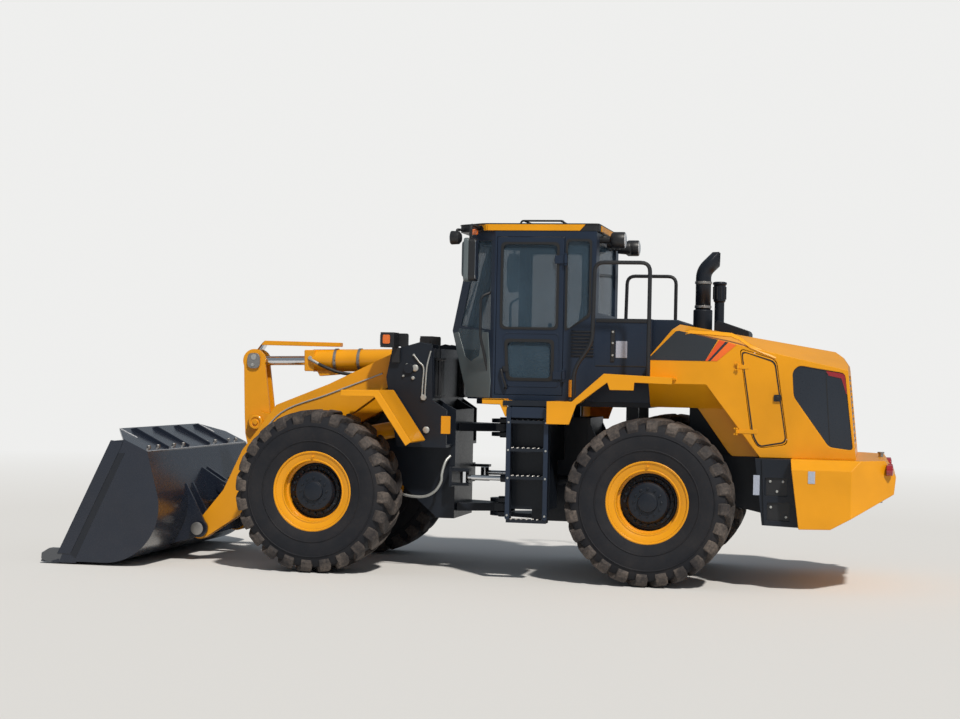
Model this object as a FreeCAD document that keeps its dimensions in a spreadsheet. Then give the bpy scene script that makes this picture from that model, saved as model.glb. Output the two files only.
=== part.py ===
"""Articulated wheel loader, built as separate sub-parts in one frame.

Millimetres, +X towards the bucket, +Y to the machine's left, +Z up, ground at z = 0.
Most places along X are given from the vertical articulation hinge between the two frames.
"""
import FreeCAD, Part

import math
import os

import Sketcher
from FreeCAD import Placement, Rotation, Vector

doc = FreeCAD.newDocument("wheel_loader")
sheet = doc.addObject("Spreadsheet::Sheet", "Sizes")
nodes = {}


class Size(float):
    """A number that also carries the sheet expression that gives it."""

    def __new__(cls, value, text):
        size = super().__new__(cls, value)
        size.text = text
        return size

    def __add__(self, other):
        return Size(float(self) + float(other), f"({self.text} + {text_of(other)})")

    def __radd__(self, other):
        return Size(float(other) + float(self), f"({text_of(other)} + {self.text})")

    def __sub__(self, other):
        return Size(float(self) - float(other), f"({self.text} - {text_of(other)})")

    def __rsub__(self, other):
        return Size(float(other) - float(self), f"({text_of(other)} - {self.text})")

    def __mul__(self, other):
        return Size(float(self) * float(other), f"({self.text} * {text_of(other)})")

    def __rmul__(self, other):
        return Size(float(other) * float(self), f"({text_of(other)} * {self.text})")

    def __truediv__(self, other):
        return Size(float(self) / float(other), f"({self.text} / {text_of(other)})")

    def __neg__(self):
        return Size(-float(self), f"(0 - {self.text})")


def text_of(value):
    """The expression text of a size or a plain number."""
    return getattr(value, "text", f"({float(value)!r})")


def size(alias, value):
    """Write one driving dimension into the sheet and return it."""
    size.row = getattr(size, "row", 0) + 1
    sheet.set(f"A{size.row}", alias.replace("_", " "))
    sheet.set(f"B{size.row}", str(value))
    sheet.setAlias(f"B{size.row}", alias)
    return Size(value, f"Sizes.{alias}")


# Whole machine
hinge_x = size("hinge_x", -245)
wheelbase = size("wheelbase", 3320)
tyre_diameter = size("tyre_diameter", 1615)
tyre_width = size("tyre_width", 600)
track_width = size("track_width", 2150)
front_axle_x = hinge_x + wheelbase / 2
rear_axle_x = hinge_x - wheelbase / 2
axle_z = tyre_diameter / 2
running_gap = size("running_gap", 0.05)
rod_gap = size("rod_gap", 0.3)
side_gap = size("side_gap", 5)
plate_wall = size("plate_wall", 30)

# Wheels
tyre_tread_width = size("tyre_tread_width", 500)
tyre_shoulder_drop = size("tyre_shoulder_drop", 75)
tyre_bulge_radius = size("tyre_bulge_radius", 600)
bead_width = size("bead_width", 480)
rim_flange_radius = size("rim_flange_radius", 399)
rim_barrel_radius = size("rim_barrel_radius", 335)
rim_inner_radius = size("rim_inner_radius", 300)
rim_flange_width = size("rim_flange_width", 24)
rim_disc_offset = size("rim_disc_offset", 60)
rim_disc_wall = size("rim_disc_wall", 30)
hub_radius = size("hub_radius", 205)
hub_cap_radius = size("hub_cap_radius", 165)
hub_length = size("hub_length", 150)
spindle_radius = size("spindle_radius", 70)

# Axles
axle_case_radius = size("axle_case_radius", 255)
axle_case_width = size("axle_case_width", 320)
axle_tube_radius = size("axle_tube_radius", 120)
axle_drum_radius = size("axle_drum_radius", 215)
axle_pad_height = size("axle_pad_height", 150)
axle_pad_length = size("axle_pad_length", 320)

# Pins of the loader linkage, from the articulation hinge
arm_pin_x = hinge_x + size("arm_pin_ahead", 850)
arm_pin_z = size("arm_pin_z", 2040)
bucket_pin_x = hinge_x + size("bucket_pin_ahead", 3080)
bucket_pin_z = size("bucket_pin_z", 340)
rocker_pin_x = hinge_x + size("rocker_pin_ahead", 2660)
rocker_pin_z = size("rocker_pin_z", 1440)
tilt_pin_x = hinge_x + size("tilt_pin_ahead", 1000)
tilt_pin_z = size("tilt_pin_z", 2130)
tilt_eye_x = hinge_x + size("tilt_eye_ahead", 2711)
tilt_eye_z = size("tilt_eye_z", 2092)
lift_pin_x = hinge_x + size("lift_pin_ahead", 740)
lift_pin_z = size("lift_pin_z", 1480)
lift_eye_x = hinge_x + size("lift_eye_ahead", 2050)
lift_eye_z = size("lift_eye_z", 1200)
link_pin_x = hinge_x + size("link_pin_ahead", 3050)
link_pin_z = size("link_pin_z", 720)
link_eye_x = hinge_x + size("link_eye_ahead", 2400)
link_eye_z = size("link_eye_z", 620)
big_pin_radius = size("big_pin_radius", 50)
small_pin_radius = size("small_pin_radius", 45)

# Lift arms, rocker and link
arm_centre_y = size("arm_centre_y", 565)
arm_wall = size("arm_wall", 140)
arm_root_radius = size("arm_root_radius", 108)
arm_tip_radius = size("arm_tip_radius", 112)
lift_slot = size("lift_slot", 84)
lift_slot_radius = size("lift_slot_radius", 302)
lift_lug_radius = size("lift_lug_radius", 120)
cross_tube_x = hinge_x + size("cross_tube_ahead", 2320)
cross_tube_z = size("cross_tube_z", 1360)
cross_tube_radius = size("cross_tube_radius", 110)
fork_gap = size("fork_gap", 120)
rocker_wall = size("rocker_wall", 35)
carrier_wall = size("carrier_wall", 35)
rocker_top_radius = size("rocker_top_radius", 125)
rocker_hub_radius = size("rocker_hub_radius", 150)
rocker_foot_radius = size("rocker_foot_radius", 95)
link_height = size("link_height", 90)
link_eye_radius = size("link_eye_radius", 80)

# Cylinders
tilt_barrel_radius = size("tilt_barrel_radius", 118)
tilt_rod_radius = size("tilt_rod_radius", 50)
tilt_barrel_start = size("tilt_barrel_start", 170)
tilt_barrel_end = size("tilt_barrel_end", 1150)
tilt_rod_inside = size("tilt_rod_inside", 600)
lift_barrel_radius = size("lift_barrel_radius", 85)
lift_rod_radius = size("lift_rod_radius", 35)
lift_barrel_start = size("lift_barrel_start", 110)
lift_barrel_end = size("lift_barrel_end", 960)
lift_rod_inside = size("lift_rod_inside", 175)
steer_barrel_radius = size("steer_barrel_radius", 50)
steer_rod_radius = size("steer_rod_radius", 25)
steer_barrel_start = size("steer_barrel_start", 70)
steer_barrel_end = size("steer_barrel_end", 774)
steer_rod_inside = size("steer_rod_inside", 425)
steer_rear_x = hinge_x - size("steer_rear_back", 850)
steer_rear_y = size("steer_rear_y", 520)
steer_front_x = hinge_x + size("steer_front_ahead", 300)
steer_front_y = size("steer_front_y", 500)
steer_z = size("steer_z", 950)
steer_pin_radius = size("steer_pin_radius", 25)
steer_eye_wall = size("steer_eye_wall", 112)

# Bucket
bucket_width = size("bucket_width", 2980)
bucket_wall = size("bucket_wall", 25)
bucket_floor_z = size("bucket_floor_z", 30)
bucket_lip_x = hinge_x + size("bucket_lip_ahead", 4250)
bucket_heel_x = hinge_x + size("bucket_heel_ahead", 3024)
bucket_top_x = hinge_x + size("bucket_top_ahead", 3330)
bucket_top_z = size("bucket_top_z", 1147)
bucket_side_x = hinge_x + size("bucket_side_ahead", 3705)
bucket_side_z = size("bucket_side_z", 1256)
bucket_curve = size("bucket_curve", 570)
guard_top_x = hinge_x + size("guard_top_ahead", 3790)
guard_top_z = size("guard_top_z", 1370)
guard_half_width = size("guard_half_width", 1120)
guard_corner_x = hinge_x + size("guard_corner_ahead", 3590)
tooth_tip_x = hinge_x + size("tooth_tip_ahead", 4450)
tooth_count = size("tooth_count", 8)
ear_wall = size("ear_wall", 30)
ear_radius = size("ear_radius", 95)

# Front frame
front_plate_y = size("front_plate_y", 430)
tower_plate_y = size("tower_plate_y", 730)
tower_back_x = hinge_x + size("tower_back_ahead", 600)
front_cross_x = hinge_x + size("front_cross_ahead", 420)
frame_seat_z = axle_z + axle_pad_height
hinge_high_z = size("hinge_high_z", 1450)
hinge_low_z = size("hinge_low_z", 630)
hinge_lug_height = size("hinge_lug_height", 80)
hinge_fork_height = size("hinge_fork_height", 40)
hinge_fork_gap = size("hinge_fork_gap", 10)
hinge_pin_radius = size("hinge_pin_radius", 45)
hinge_nose_radius = size("hinge_nose_radius", 130)

# Rear frame, deck and cab
neck_half_width = size("neck_half_width", 280)
neck_front_x = hinge_x - size("neck_front_back", 360)
neck_back_x = hinge_x - size("neck_back_back", 940)
rear_plate_y = size("rear_plate_y", 450)
frame_top_z = size("frame_top_z", 1250)
neck_top_z = size("neck_top_z", 1580)
frame_low_z = size("frame_low_z", 520)
deck_top_z = size("deck_top_z", 1750)
deck_wall = size("deck_wall", 50)
cab_half_width = size("cab_half_width", 800)
cab_back_x = hinge_x - size("cab_back", 1050)
cab_post_x = hinge_x - size("cab_post_back", 30)
cab_toe_x = hinge_x + size("cab_toe_ahead", 280)
cab_nose_x = hinge_x + size("cab_nose_ahead", 490)
cab_brow_x = hinge_x + size("cab_brow_ahead", 250)
cab_nose_z = size("cab_nose_z", 2440)
cab_top_z = size("cab_top_z", 3430)
cab_nose_half = size("cab_nose_half", 360)
cab_wall = size("cab_wall", 45)
glass_wall = size("glass_wall", 8)
glass_inset = size("glass_inset", 18)
roof_front_x = hinge_x + size("roof_front_ahead", 395)
roof_back_x = hinge_x - size("roof_back", 1074)
roof_height = size("roof_height", 75)
roof_half_width = size("roof_half_width", 800)
door_front_x = hinge_x - size("door_front_back", 50)
door_back_x = hinge_x - size("door_back_back", 735)
door_low_z = size("door_low_z", 1800)
door_high_z = size("door_high_z", 3375)
ac_back_x = hinge_x - size("ac_back", 1610)
ac_top_z = size("ac_top_z", 2573)

# Hood, counterweight and what stands on them
hood_back_low_x = hinge_x - size("hood_back_low", 3596)
hood_back_high_x = hinge_x - size("hood_back_high", 3503)
hood_floor_z = size("hood_floor_z", 1255)
hood_half_width = size("hood_half_width", 980)
hood_top_half = size("hood_top_half", 620)
hood_side_z = size("hood_side_z", 2300)
hood_crown_z = size("hood_crown_z", 2560)
hood_front_top_z = size("hood_front_top_z", 2526)
hood_back_top_z = size("hood_back_top_z", 2286)
hood_wall = size("hood_wall", 25)
hatch_front_x = hinge_x - size("hatch_front_back", 2480)
hatch_back_x = hinge_x - size("hatch_back_back", 2930)
hatch_low_z = size("hatch_low_z", 1360)
hatch_high_z = size("hatch_high_z", 2270)
weight_half_width = size("weight_half_width", 1250)
weight_back_x = hinge_x - size("weight_back", 3971)
weight_front_x = hinge_x - size("weight_front", 2992)
weight_low_x = hinge_x - size("weight_low", 3079)
weight_low_z = size("weight_low_z", 601)

# Fenders and steps
fender_out_y = size("fender_out_y", 1370)
fender_wall = size("fender_wall", 20)
step_out_y = size("step_out_y", 1300)
step_front_x = hinge_x - size("step_front_back", 290)
step_back_x = hinge_x - size("step_back_back", 680)
step_low_z = size("step_low_z", 570)
rail_radius = size("rail_radius", 20)

def bind(thing, prop, value):
    """Set a number on an object, as an expression where it comes from the sheet."""
    if hasattr(value, "text"):
        thing.setExpression(prop, value.text)
    else:
        setattr(thing, prop, value)


def place(thing, x, y, z, rotation=Rotation()):
    """Put an object at x, y, z, bound to the sheet."""
    thing.Placement = Placement(Vector(x, y, z), rotation)
    for axis, value in zip("xyz", (x, y, z)):
        if hasattr(value, "text"):
            thing.setExpression(f"Placement.Base.{axis}", value.text)
    return thing


def outline_sketch(body, name, plane, points):
    """A closed sketch of straight lines with every corner pinned by two distances."""
    sketch = body.newObject("Sketcher::SketchObject", name + "_outline")
    origin_plane = [f for f in body.Origin.OriginFeatures if f.Role == plane][0]
    sketch.AttachmentSupport = [(origin_plane, "")]
    sketch.MapMode = "FlatFace"
    count = len(points)
    corners = [Vector(a, b, 0) for a, b in points]
    sketch.addGeometry([Part.LineSegment(corners[i], corners[(i + 1) % count]) for i in range(count)], False)
    joins = [Sketcher.Constraint("Coincident", i, 2, (i + 1) % count, 1) for i in range(count)]
    pins = []
    for i, (a, b) in enumerate(points):
        pins.append(Sketcher.Constraint("DistanceX", -1, 1, i, 1, float(a)))
        pins.append(Sketcher.Constraint("DistanceY", -1, 1, i, 1, float(b)))
    sketch.addConstraint(joins + pins)
    for i, corner in enumerate(points):
        for k, value in enumerate(corner):
            if hasattr(value, "text"):
                sketch.setExpression(f"Constraints[{count + 2 * i + k}]", value.text)
    return sketch


def pad(name, plane, points, start, end):
    """A body: an outline on an origin plane, padded from start to end along the plane's axis."""
    body = doc.addObject("PartDesign::Body", name)
    sketch = outline_sketch(body, name, plane, points)
    # The XZ plane faces -Y, so its pad starts from the far side.
    offset = -end if plane == "XZ_Plane" else start
    if hasattr(offset, "text"):
        sketch.setExpression("AttachmentOffset.Base.z", offset.text)
    else:
        sketch.AttachmentOffset = Placement(Vector(0, 0, offset), Rotation())
    feature = body.newObject("PartDesign::Pad", name + "_pad")
    feature.Profile = sketch
    bind(feature, "Length", end - start)
    sketch.Visibility = False
    body.Tip = feature
    return body


def side_plate(name, points, start, end):
    """A plate seen from the side: (x, z) corners, between two places along Y."""
    return pad(name, "XZ_Plane", points, start, end)


def flat_plate(name, points, low, high):
    """A plate seen from above: (x, y) corners, between two heights."""
    return pad(name, "XY_Plane", points, low, high)


def cross_plate(name, points, back, front):
    """A plate seen from the front: (y, z) corners, between two places along X."""
    return pad(name, "YZ_Plane", points, back, front)


def round_corners(body, name, radius, picks):
    """Fillet the edges of a padded plate that stand on the given outline corners."""
    doc.recompute()
    base = body.Tip
    edges = []
    for i, edge in enumerate(base.Shape.Edges, 1):
        ends = [vertex.Point for vertex in edge.Vertexes]
        if len(ends) != 2:
            continue
        for a, b in picks:
            near = [abs(p.x - a) < 0.01 and abs(p.z - b) < 0.01 for p in ends]
            if all(near):
                edges.append(f"Edge{i}")
    fillet = body.newObject("PartDesign::Fillet", name)
    fillet.Base = (base, edges)
    bind(fillet, "Radius", radius)
    body.Tip = fillet
    return body


def turned(name, plane, points):
    """A body turned about the vertical axis of a sketch: (radius, along) corners."""
    body = doc.addObject("PartDesign::Body", name)
    sketch = outline_sketch(body, name, plane, points)
    feature = body.newObject("PartDesign::Revolution", name + "_turn")
    feature.Profile = sketch
    feature.ReferenceAxis = (sketch, ["V_Axis"])
    feature.Angle = 360.0
    sketch.Visibility = False
    body.Tip = feature
    return body


def box(name, x, y, z):
    """A box from (low, high) pairs along the three axes."""
    thing = doc.addObject("Part::Box", name)
    for prop, (low, high) in zip(("Length", "Width", "Height"), (x, y, z)):
        bind(thing, prop, high - low)
    return place(thing, x[0], y[0], z[0])


TURN = {"X": Rotation(Vector(0, 1, 0), 90), "Y": Rotation(Vector(1, 0, 0), -90), "Z": Rotation()}


def shaft(name, axis, centre, start, end, radius):
    """A cylinder along one axis; centre gives the other two places, in X, Y, Z order."""
    thing = doc.addObject("Part::Cylinder", name)
    bind(thing, "Radius", radius)
    bind(thing, "Height", end - start)
    where = list(centre)
    where.insert("XYZ".index(axis), start)
    return place(thing, *where, rotation=TURN[axis])


def bar(name, start, end, radius):
    """A round bar between two points."""
    thing = doc.addObject("Part::Cylinder", name)
    run = Vector(*end) - Vector(*start)
    bind(thing, "Radius", radius)
    thing.Height = run.Length
    return place(thing, *start, rotation=Rotation(Vector(0, 0, 1), run))


def ball(name, centre, radius):
    thing = doc.addObject("Part::Sphere", name)
    bind(thing, "Radius", radius)
    return place(thing, *centre)


def fuse(name, *parts):
    thing = doc.addObject("Part::MultiFuse", name)
    thing.Shapes = list(parts)
    thing.Refine = True
    return thing


def cut(name, base, *tools):
    thing = doc.addObject("Part::Cut", name)
    thing.Base = base
    thing.Tool = tools[0] if len(tools) == 1 else fuse(name + "_tools", *tools)
    thing.Refine = True
    return thing


def common(name, first, second):
    thing = doc.addObject("Part::Common", name)
    thing.Base = first
    thing.Tool = second
    thing.Refine = True
    return thing


def mirrored(name, source):
    """The same shape on the machine's other side."""
    thing = doc.addObject("Part::Mirroring", name)
    thing.Source = source
    thing.Base = Vector(0, 0, 0)
    thing.Normal = Vector(0, 1, 0)
    return thing


def group(name, *parts):
    thing = doc.addObject("Part::Compound", name)
    thing.Links = list(parts)
    return thing


def pair(name, source):
    """A left piece and its mirror image as one node of separate solids."""
    return group(name, source, mirrored(name + "_right", source))


def node(name, thing):
    """Keep an object as a finished sub-part under its own label."""
    thing.Label = name
    nodes[name] = thing
    return thing


def tube_run(name, points, radius):
    """A round tube through several points, with a ball at each bend."""
    pieces = [bar(f"{name}_{i}", points[i], points[i + 1], radius) for i in range(len(points) - 1)]
    pieces += [ball(f"{name}_bend_{i}", point, radius) for i, point in enumerate(points[1:-1])]
    return fuse(name, *pieces) if len(pieces) > 1 else pieces[0]


def tilted(x, z, angle):
    """A placement at (x, z) whose local X points up by angle degrees."""
    return Placement(Vector(x, 0, z), Rotation(Vector(0, 1, 0), -angle))


def make_wheel(name, x, side):
    """One tyre and one rim with its hub, for side 1 (left) or -1 (right)."""
    half = tyre_width / 2
    tread = tyre_tread_width / 2
    bead = bead_width / 2
    outer = tyre_diameter / 2
    shoulder = outer - tyre_shoulder_drop
    profile = [
        (rim_barrel_radius, -bead), (rim_flange_radius, -bead), (rim_flange_radius + 70, 15 - half),
        (tyre_bulge_radius, -half), (shoulder, 10 - half), (outer, -tread),
        (outer, tread), (shoulder, half - 10), (tyre_bulge_radius, half),
        (rim_flange_radius + 70, half - 15), (rim_flange_radius, bead), (rim_barrel_radius, bead),
    ]
    y = track_width / 2 * side
    tyre = turned(f"tyre_{name}", "XY_Plane", profile)
    node(f"tyre_{name}", place(tyre, x, y, axle_z))
    flange = bead + rim_flange_width
    disc_out = rim_disc_offset + rim_disc_wall
    rim_profile = [
        (rim_barrel_radius, -bead), (rim_flange_radius, -bead), (rim_flange_radius, -flange),
        (rim_inner_radius, -flange), (rim_inner_radius, rim_disc_offset * side - rim_disc_wall / 2),
        (spindle_radius + running_gap, rim_disc_offset * side - rim_disc_wall / 2),
        (spindle_radius + running_gap, rim_disc_offset * side + rim_disc_wall / 2),
        (rim_inner_radius, rim_disc_offset * side + rim_disc_wall / 2), (rim_inner_radius, flange),
        (rim_flange_radius, flange), (rim_flange_radius, bead), (rim_barrel_radius, bead),
    ]
    rim = turned(f"rim_{name}_body", "XY_Plane", rim_profile)
    place(rim, x, y, axle_z)
    face = (disc_out - rim_disc_wall / 2) * side
    tip = face + hub_length * side
    ends = sorted((face, tip))
    hub = shaft(f"hub_{name}", "Y", (x, axle_z), y + ends[0], y + ends[1], hub_cap_radius)
    bored = sorted((face, face + 40 * side))
    bore = shaft(f"hub_bore_{name}", "Y", (x, axle_z), y + bored[0], y + bored[1], spindle_radius + running_gap)
    collar = shaft(f"hub_collar_{name}", "Y", (x, axle_z), y + bored[0], y + bored[1], hub_radius)
    node(f"rim_{name}", cut(f"rim_{name}_cut", fuse(f"rim_{name}_fuse", rim, hub, collar), bore))


def make_axle(name, x):
    """Axle housing with the differential case, drums, mounting pads and wheel spindles."""
    half_case = axle_case_width / 2
    hub_face = track_width / 2 + rim_disc_offset - rim_disc_wall / 2
    drum_end = hub_face - 10
    drum_start = drum_end - 200
    tip = hub_face + rim_disc_wall + 30
    half = [
        (0, 0), (axle_case_radius, 0), (axle_case_radius, half_case), (axle_tube_radius, half_case + 200),
        (axle_tube_radius, drum_start), (axle_drum_radius, drum_start), (axle_drum_radius, drum_end),
        (spindle_radius, drum_end), (spindle_radius, tip), (0, tip),
    ]
    left = place(turned(f"{name}_half", "XY_Plane", half), x, 0, axle_z)
    pads = box(f"{name}_pad", (x - axle_pad_length / 2, x + axle_pad_length / 2),
               (front_plate_y - 50, front_plate_y + 20), (axle_z, axle_z + axle_pad_height))
    left_side = fuse(f"{name}_left", left, pads)
    node(name, fuse(f"{name}_whole", left_side, mirrored(f"{name}_right", left_side)))


def make_front_frame():
    """Loader tower, axle seat and the hinge lugs of the front frame."""
    inner = front_plate_y - plate_wall
    tower = [
        (front_cross_x, frame_low_z), (hinge_x + 600, frame_low_z), (front_axle_x - 560, frame_seat_z),
        (front_axle_x + 390, frame_seat_z), (front_axle_x + 390, frame_seat_z + 150),
        (hinge_x + 1300, 1450), (hinge_x + 1090, 1620), (hinge_x + 1085, 1950), (hinge_x + 1030, 2225),
        (hinge_x + 741, 2310), (tower_back_x + 15, 2285), (tower_back_x, 1729), (front_cross_x, 1630),
    ]
    outer = [
        (front_cross_x + 30, 1250), (hinge_x + 960, 1250), (hinge_x + 1000, 1450), (hinge_x + 1085, 1950),
        (hinge_x + 1030, 2225), (hinge_x + 741, 2310), (tower_back_x + 15, 2285), (tower_back_x, 1729),
        (front_cross_x + 30, 1630),
    ]
    inner_plate = side_plate("front_inner_plate", tower, inner, front_plate_y)
    outer_plate = side_plate("front_outer_plate", outer, tower_plate_y - plate_wall, tower_plate_y)
    outer_back = box("tower_back_outer", (tower_back_x, tower_back_x + plate_wall),
                     (front_plate_y, tower_plate_y - plate_wall), (1700, 2250))
    outer_floor = box("tower_floor_outer", (front_cross_x + 30, hinge_x + 960),
                      (front_plate_y, tower_plate_y - plate_wall), (1250, 1250 + plate_wall))
    pins = [
        shaft("arm_pin", "Y", (arm_pin_x, arm_pin_z), inner, tower_plate_y + 25, big_pin_radius),
        shaft("lift_pin", "Y", (lift_pin_x, lift_pin_z), inner, tower_plate_y, small_pin_radius),
    ]
    fender_lug = box("front_fender_lug", (hinge_x + 900, hinge_x + 1080), (tower_plate_y - 10, tower_plate_y),
                     (1600, 1700))
    left = fuse("front_frame_left", inner_plate, outer_plate, outer_back, outer_floor, fender_lug, *pins)
    low_back = box("front_cross_plate", (front_cross_x, front_cross_x + plate_wall), (-front_plate_y, front_plate_y),
                   (frame_low_z, 1630))
    tower_back = box("tower_back_plate", (tower_back_x, tower_back_x + plate_wall), (-inner, inner), (1600, 2250))
    belly = box("front_belly_plate", (front_cross_x, front_axle_x + 390), (-inner, inner),
                (frame_seat_z + 120, frame_seat_z + 120 + plate_wall))
    steer_beam = box("steer_beam", (front_cross_x, front_cross_x + plate_wall),
                     (-steer_front_y - 70, steer_front_y + 70), (steer_z - 100, steer_z + 100))
    parts = [left, mirrored("front_frame_right", left), low_back, tower_back, belly, steer_beam]
    parts += [hinge_lug("front_lug_high", hinge_high_z), hinge_lug("front_lug_low", hinge_low_z)]
    parts += steer_brackets("front_steer", steer_front_x, steer_front_y, front_cross_x)
    bracket = [
        (tower_back_x + plate_wall, 2010), (tilt_pin_x + 30, tilt_pin_z - 95), (tilt_pin_x + 90, tilt_pin_z - 30),
        (tilt_pin_x + 90, tilt_pin_z + 30), (tilt_pin_x + 30, tilt_pin_z + 95), (tower_back_x + plate_wall, 2250),
    ]
    eye_half = fork_gap / 2 + side_gap
    plate = side_plate("tilt_bracket", bracket, eye_half, eye_half + plate_wall)
    pin = shaft("tilt_pin", "Y", (tilt_pin_x, tilt_pin_z), -eye_half - plate_wall, eye_half + plate_wall, big_pin_radius)
    parts += [plate, mirrored("tilt_bracket_right", plate), pin]
    whole = fuse("front_frame_fuse", *parts)
    bore = shaft("front_hinge_bore", "Z", (hinge_x, 0), 0, 2000, hinge_pin_radius + running_gap)
    node("front_frame", cut("front_frame_cut", whole, bore))


def hinge_lug(name, z):
    """One thick lug of the front frame, from its cross plate to a round nose on the hinge."""
    low = z - hinge_lug_height / 2
    high = z + hinge_lug_height / 2
    blade = flat_plate(name + "_blade", [
        (front_cross_x, -300), (front_cross_x, 300), (hinge_x + 60, hinge_nose_radius),
        (hinge_x, hinge_nose_radius), (hinge_x, -hinge_nose_radius), (hinge_x + 60, -hinge_nose_radius),
    ], low, high)
    nose = shaft(name + "_nose", "Z", (hinge_x, 0), low, high, hinge_nose_radius)
    return fuse(name, blade, nose)


def hinge_fork(name, z):
    """The two fork plates of the rear frame round one lug, with the pin between them."""
    lug_half = hinge_lug_height / 2 + hinge_fork_gap
    plates = []
    for level, low in (("upper", z + lug_half), ("lower", z - lug_half - hinge_fork_height)):
        plates.append(flat_plate(f"{name}_{level}", [
            (neck_front_x, -neck_half_width), (hinge_x - 60, -hinge_nose_radius), (hinge_x, -hinge_nose_radius),
            (hinge_x, hinge_nose_radius), (hinge_x - 60, hinge_nose_radius), (neck_front_x, neck_half_width),
        ], low, low + hinge_fork_height))
        plates.append(shaft(f"{name}_{level}_nose", "Z", (hinge_x, 0), low, low + hinge_fork_height,
                            hinge_nose_radius))
    pin_half = lug_half + hinge_fork_height + 15
    plates.append(shaft(name + "_pin", "Z", (hinge_x, 0), z - pin_half, z + pin_half, hinge_pin_radius))
    return fuse(name, *plates)


def steer_brackets(name, x, y, plate_x):
    """Upper and lower ears that hold a steering cylinder's end, on both sides."""
    half = steer_eye_wall / 2 + side_gap
    ends = sorted((x + (x - plate_x) / abs(float(x - plate_x)) * 55, plate_x))
    ears = []
    for level, low in (("upper", steer_z + half), ("lower", steer_z - half - 25)):
        ears.append(box(f"{name}_{level}", ends, (y - 60, y + 60), (low, low + 25)))
    left = group(f"{name}_ears", *ears)
    return [left, mirrored(f"{name}_ears_right", left)]


def make_rear_frame():
    """Neck with the hinge forks, side plates over the axle, and the deck that carries the cab."""
    neck_inner = neck_half_width - plate_wall
    inner = rear_plate_y - plate_wall
    neck = box("neck_plate", (neck_back_x, neck_front_x), (neck_inner, neck_half_width), (frame_low_z, neck_top_z))
    side = side_plate("rear_side_plate", [
        (neck_back_x, frame_low_z), (neck_back_x, neck_top_z), (hinge_x - 1100, frame_top_z),
        (weight_front_x, frame_top_z), (weight_low_x, weight_low_z), (rear_axle_x - 700, 760),
        (rear_axle_x - 300, frame_seat_z), (rear_axle_x + 300, frame_seat_z),
    ], inner, rear_plate_y)
    front_post = box("deck_front_post", (neck_front_x - 400, neck_front_x - 280),
                     (neck_inner - 20, neck_half_width), (neck_top_z, deck_top_z - deck_wall))
    back_post = box("deck_back_post", (hinge_x - 1450, hinge_x - 1330), (inner - 40, rear_plate_y),
                    (frame_top_z, deck_top_z - deck_wall))
    left = fuse("rear_frame_left", neck, side, front_post, back_post)
    hinge_plate = box("neck_front_plate", (neck_front_x - 40, neck_front_x), (-neck_half_width, neck_half_width),
                      (frame_low_z, neck_top_z))
    neck_back = box("neck_back_plate", (neck_back_x - plate_wall, neck_back_x),
                    (-rear_plate_y - 150, rear_plate_y + 150), (steer_z - 150, steer_z + 150))
    neck_web = box("neck_web_plate", (neck_back_x - plate_wall, neck_back_x), (-rear_plate_y, rear_plate_y),
                   (frame_low_z, neck_top_z))
    cross = box("rear_cross_plate", (hinge_x - 2960, hinge_x - 2930), (-inner, inner), (700, frame_top_z))
    deck = flat_plate("cab_deck", [
        (ac_back_x, -cab_half_width), (cab_post_x, -cab_half_width), (hinge_x + 180, -560),
        (hinge_x + 180, 560), (cab_post_x, cab_half_width), (ac_back_x, cab_half_width),
    ], deck_top_z - deck_wall, deck_top_z)
    parts = [left, mirrored("rear_frame_right", left), hinge_plate, neck_back, neck_web, cross, deck]
    parts += [hinge_fork("hinge_fork_high", hinge_high_z), hinge_fork("hinge_fork_low", hinge_low_z)]
    parts += steer_brackets("rear_steer", steer_rear_x, steer_rear_y, neck_back_x)
    half = steer_eye_wall / 2 + side_gap + 25
    steer_pin = shaft("rear_steer_pin", "Z", (steer_rear_x, steer_rear_y), steer_z - half, steer_z + half,
                      steer_pin_radius)
    parts += [steer_pin, mirrored("rear_steer_pin_right", steer_pin)]
    node("rear_frame", fuse("rear_frame_fuse", *parts))


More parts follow.
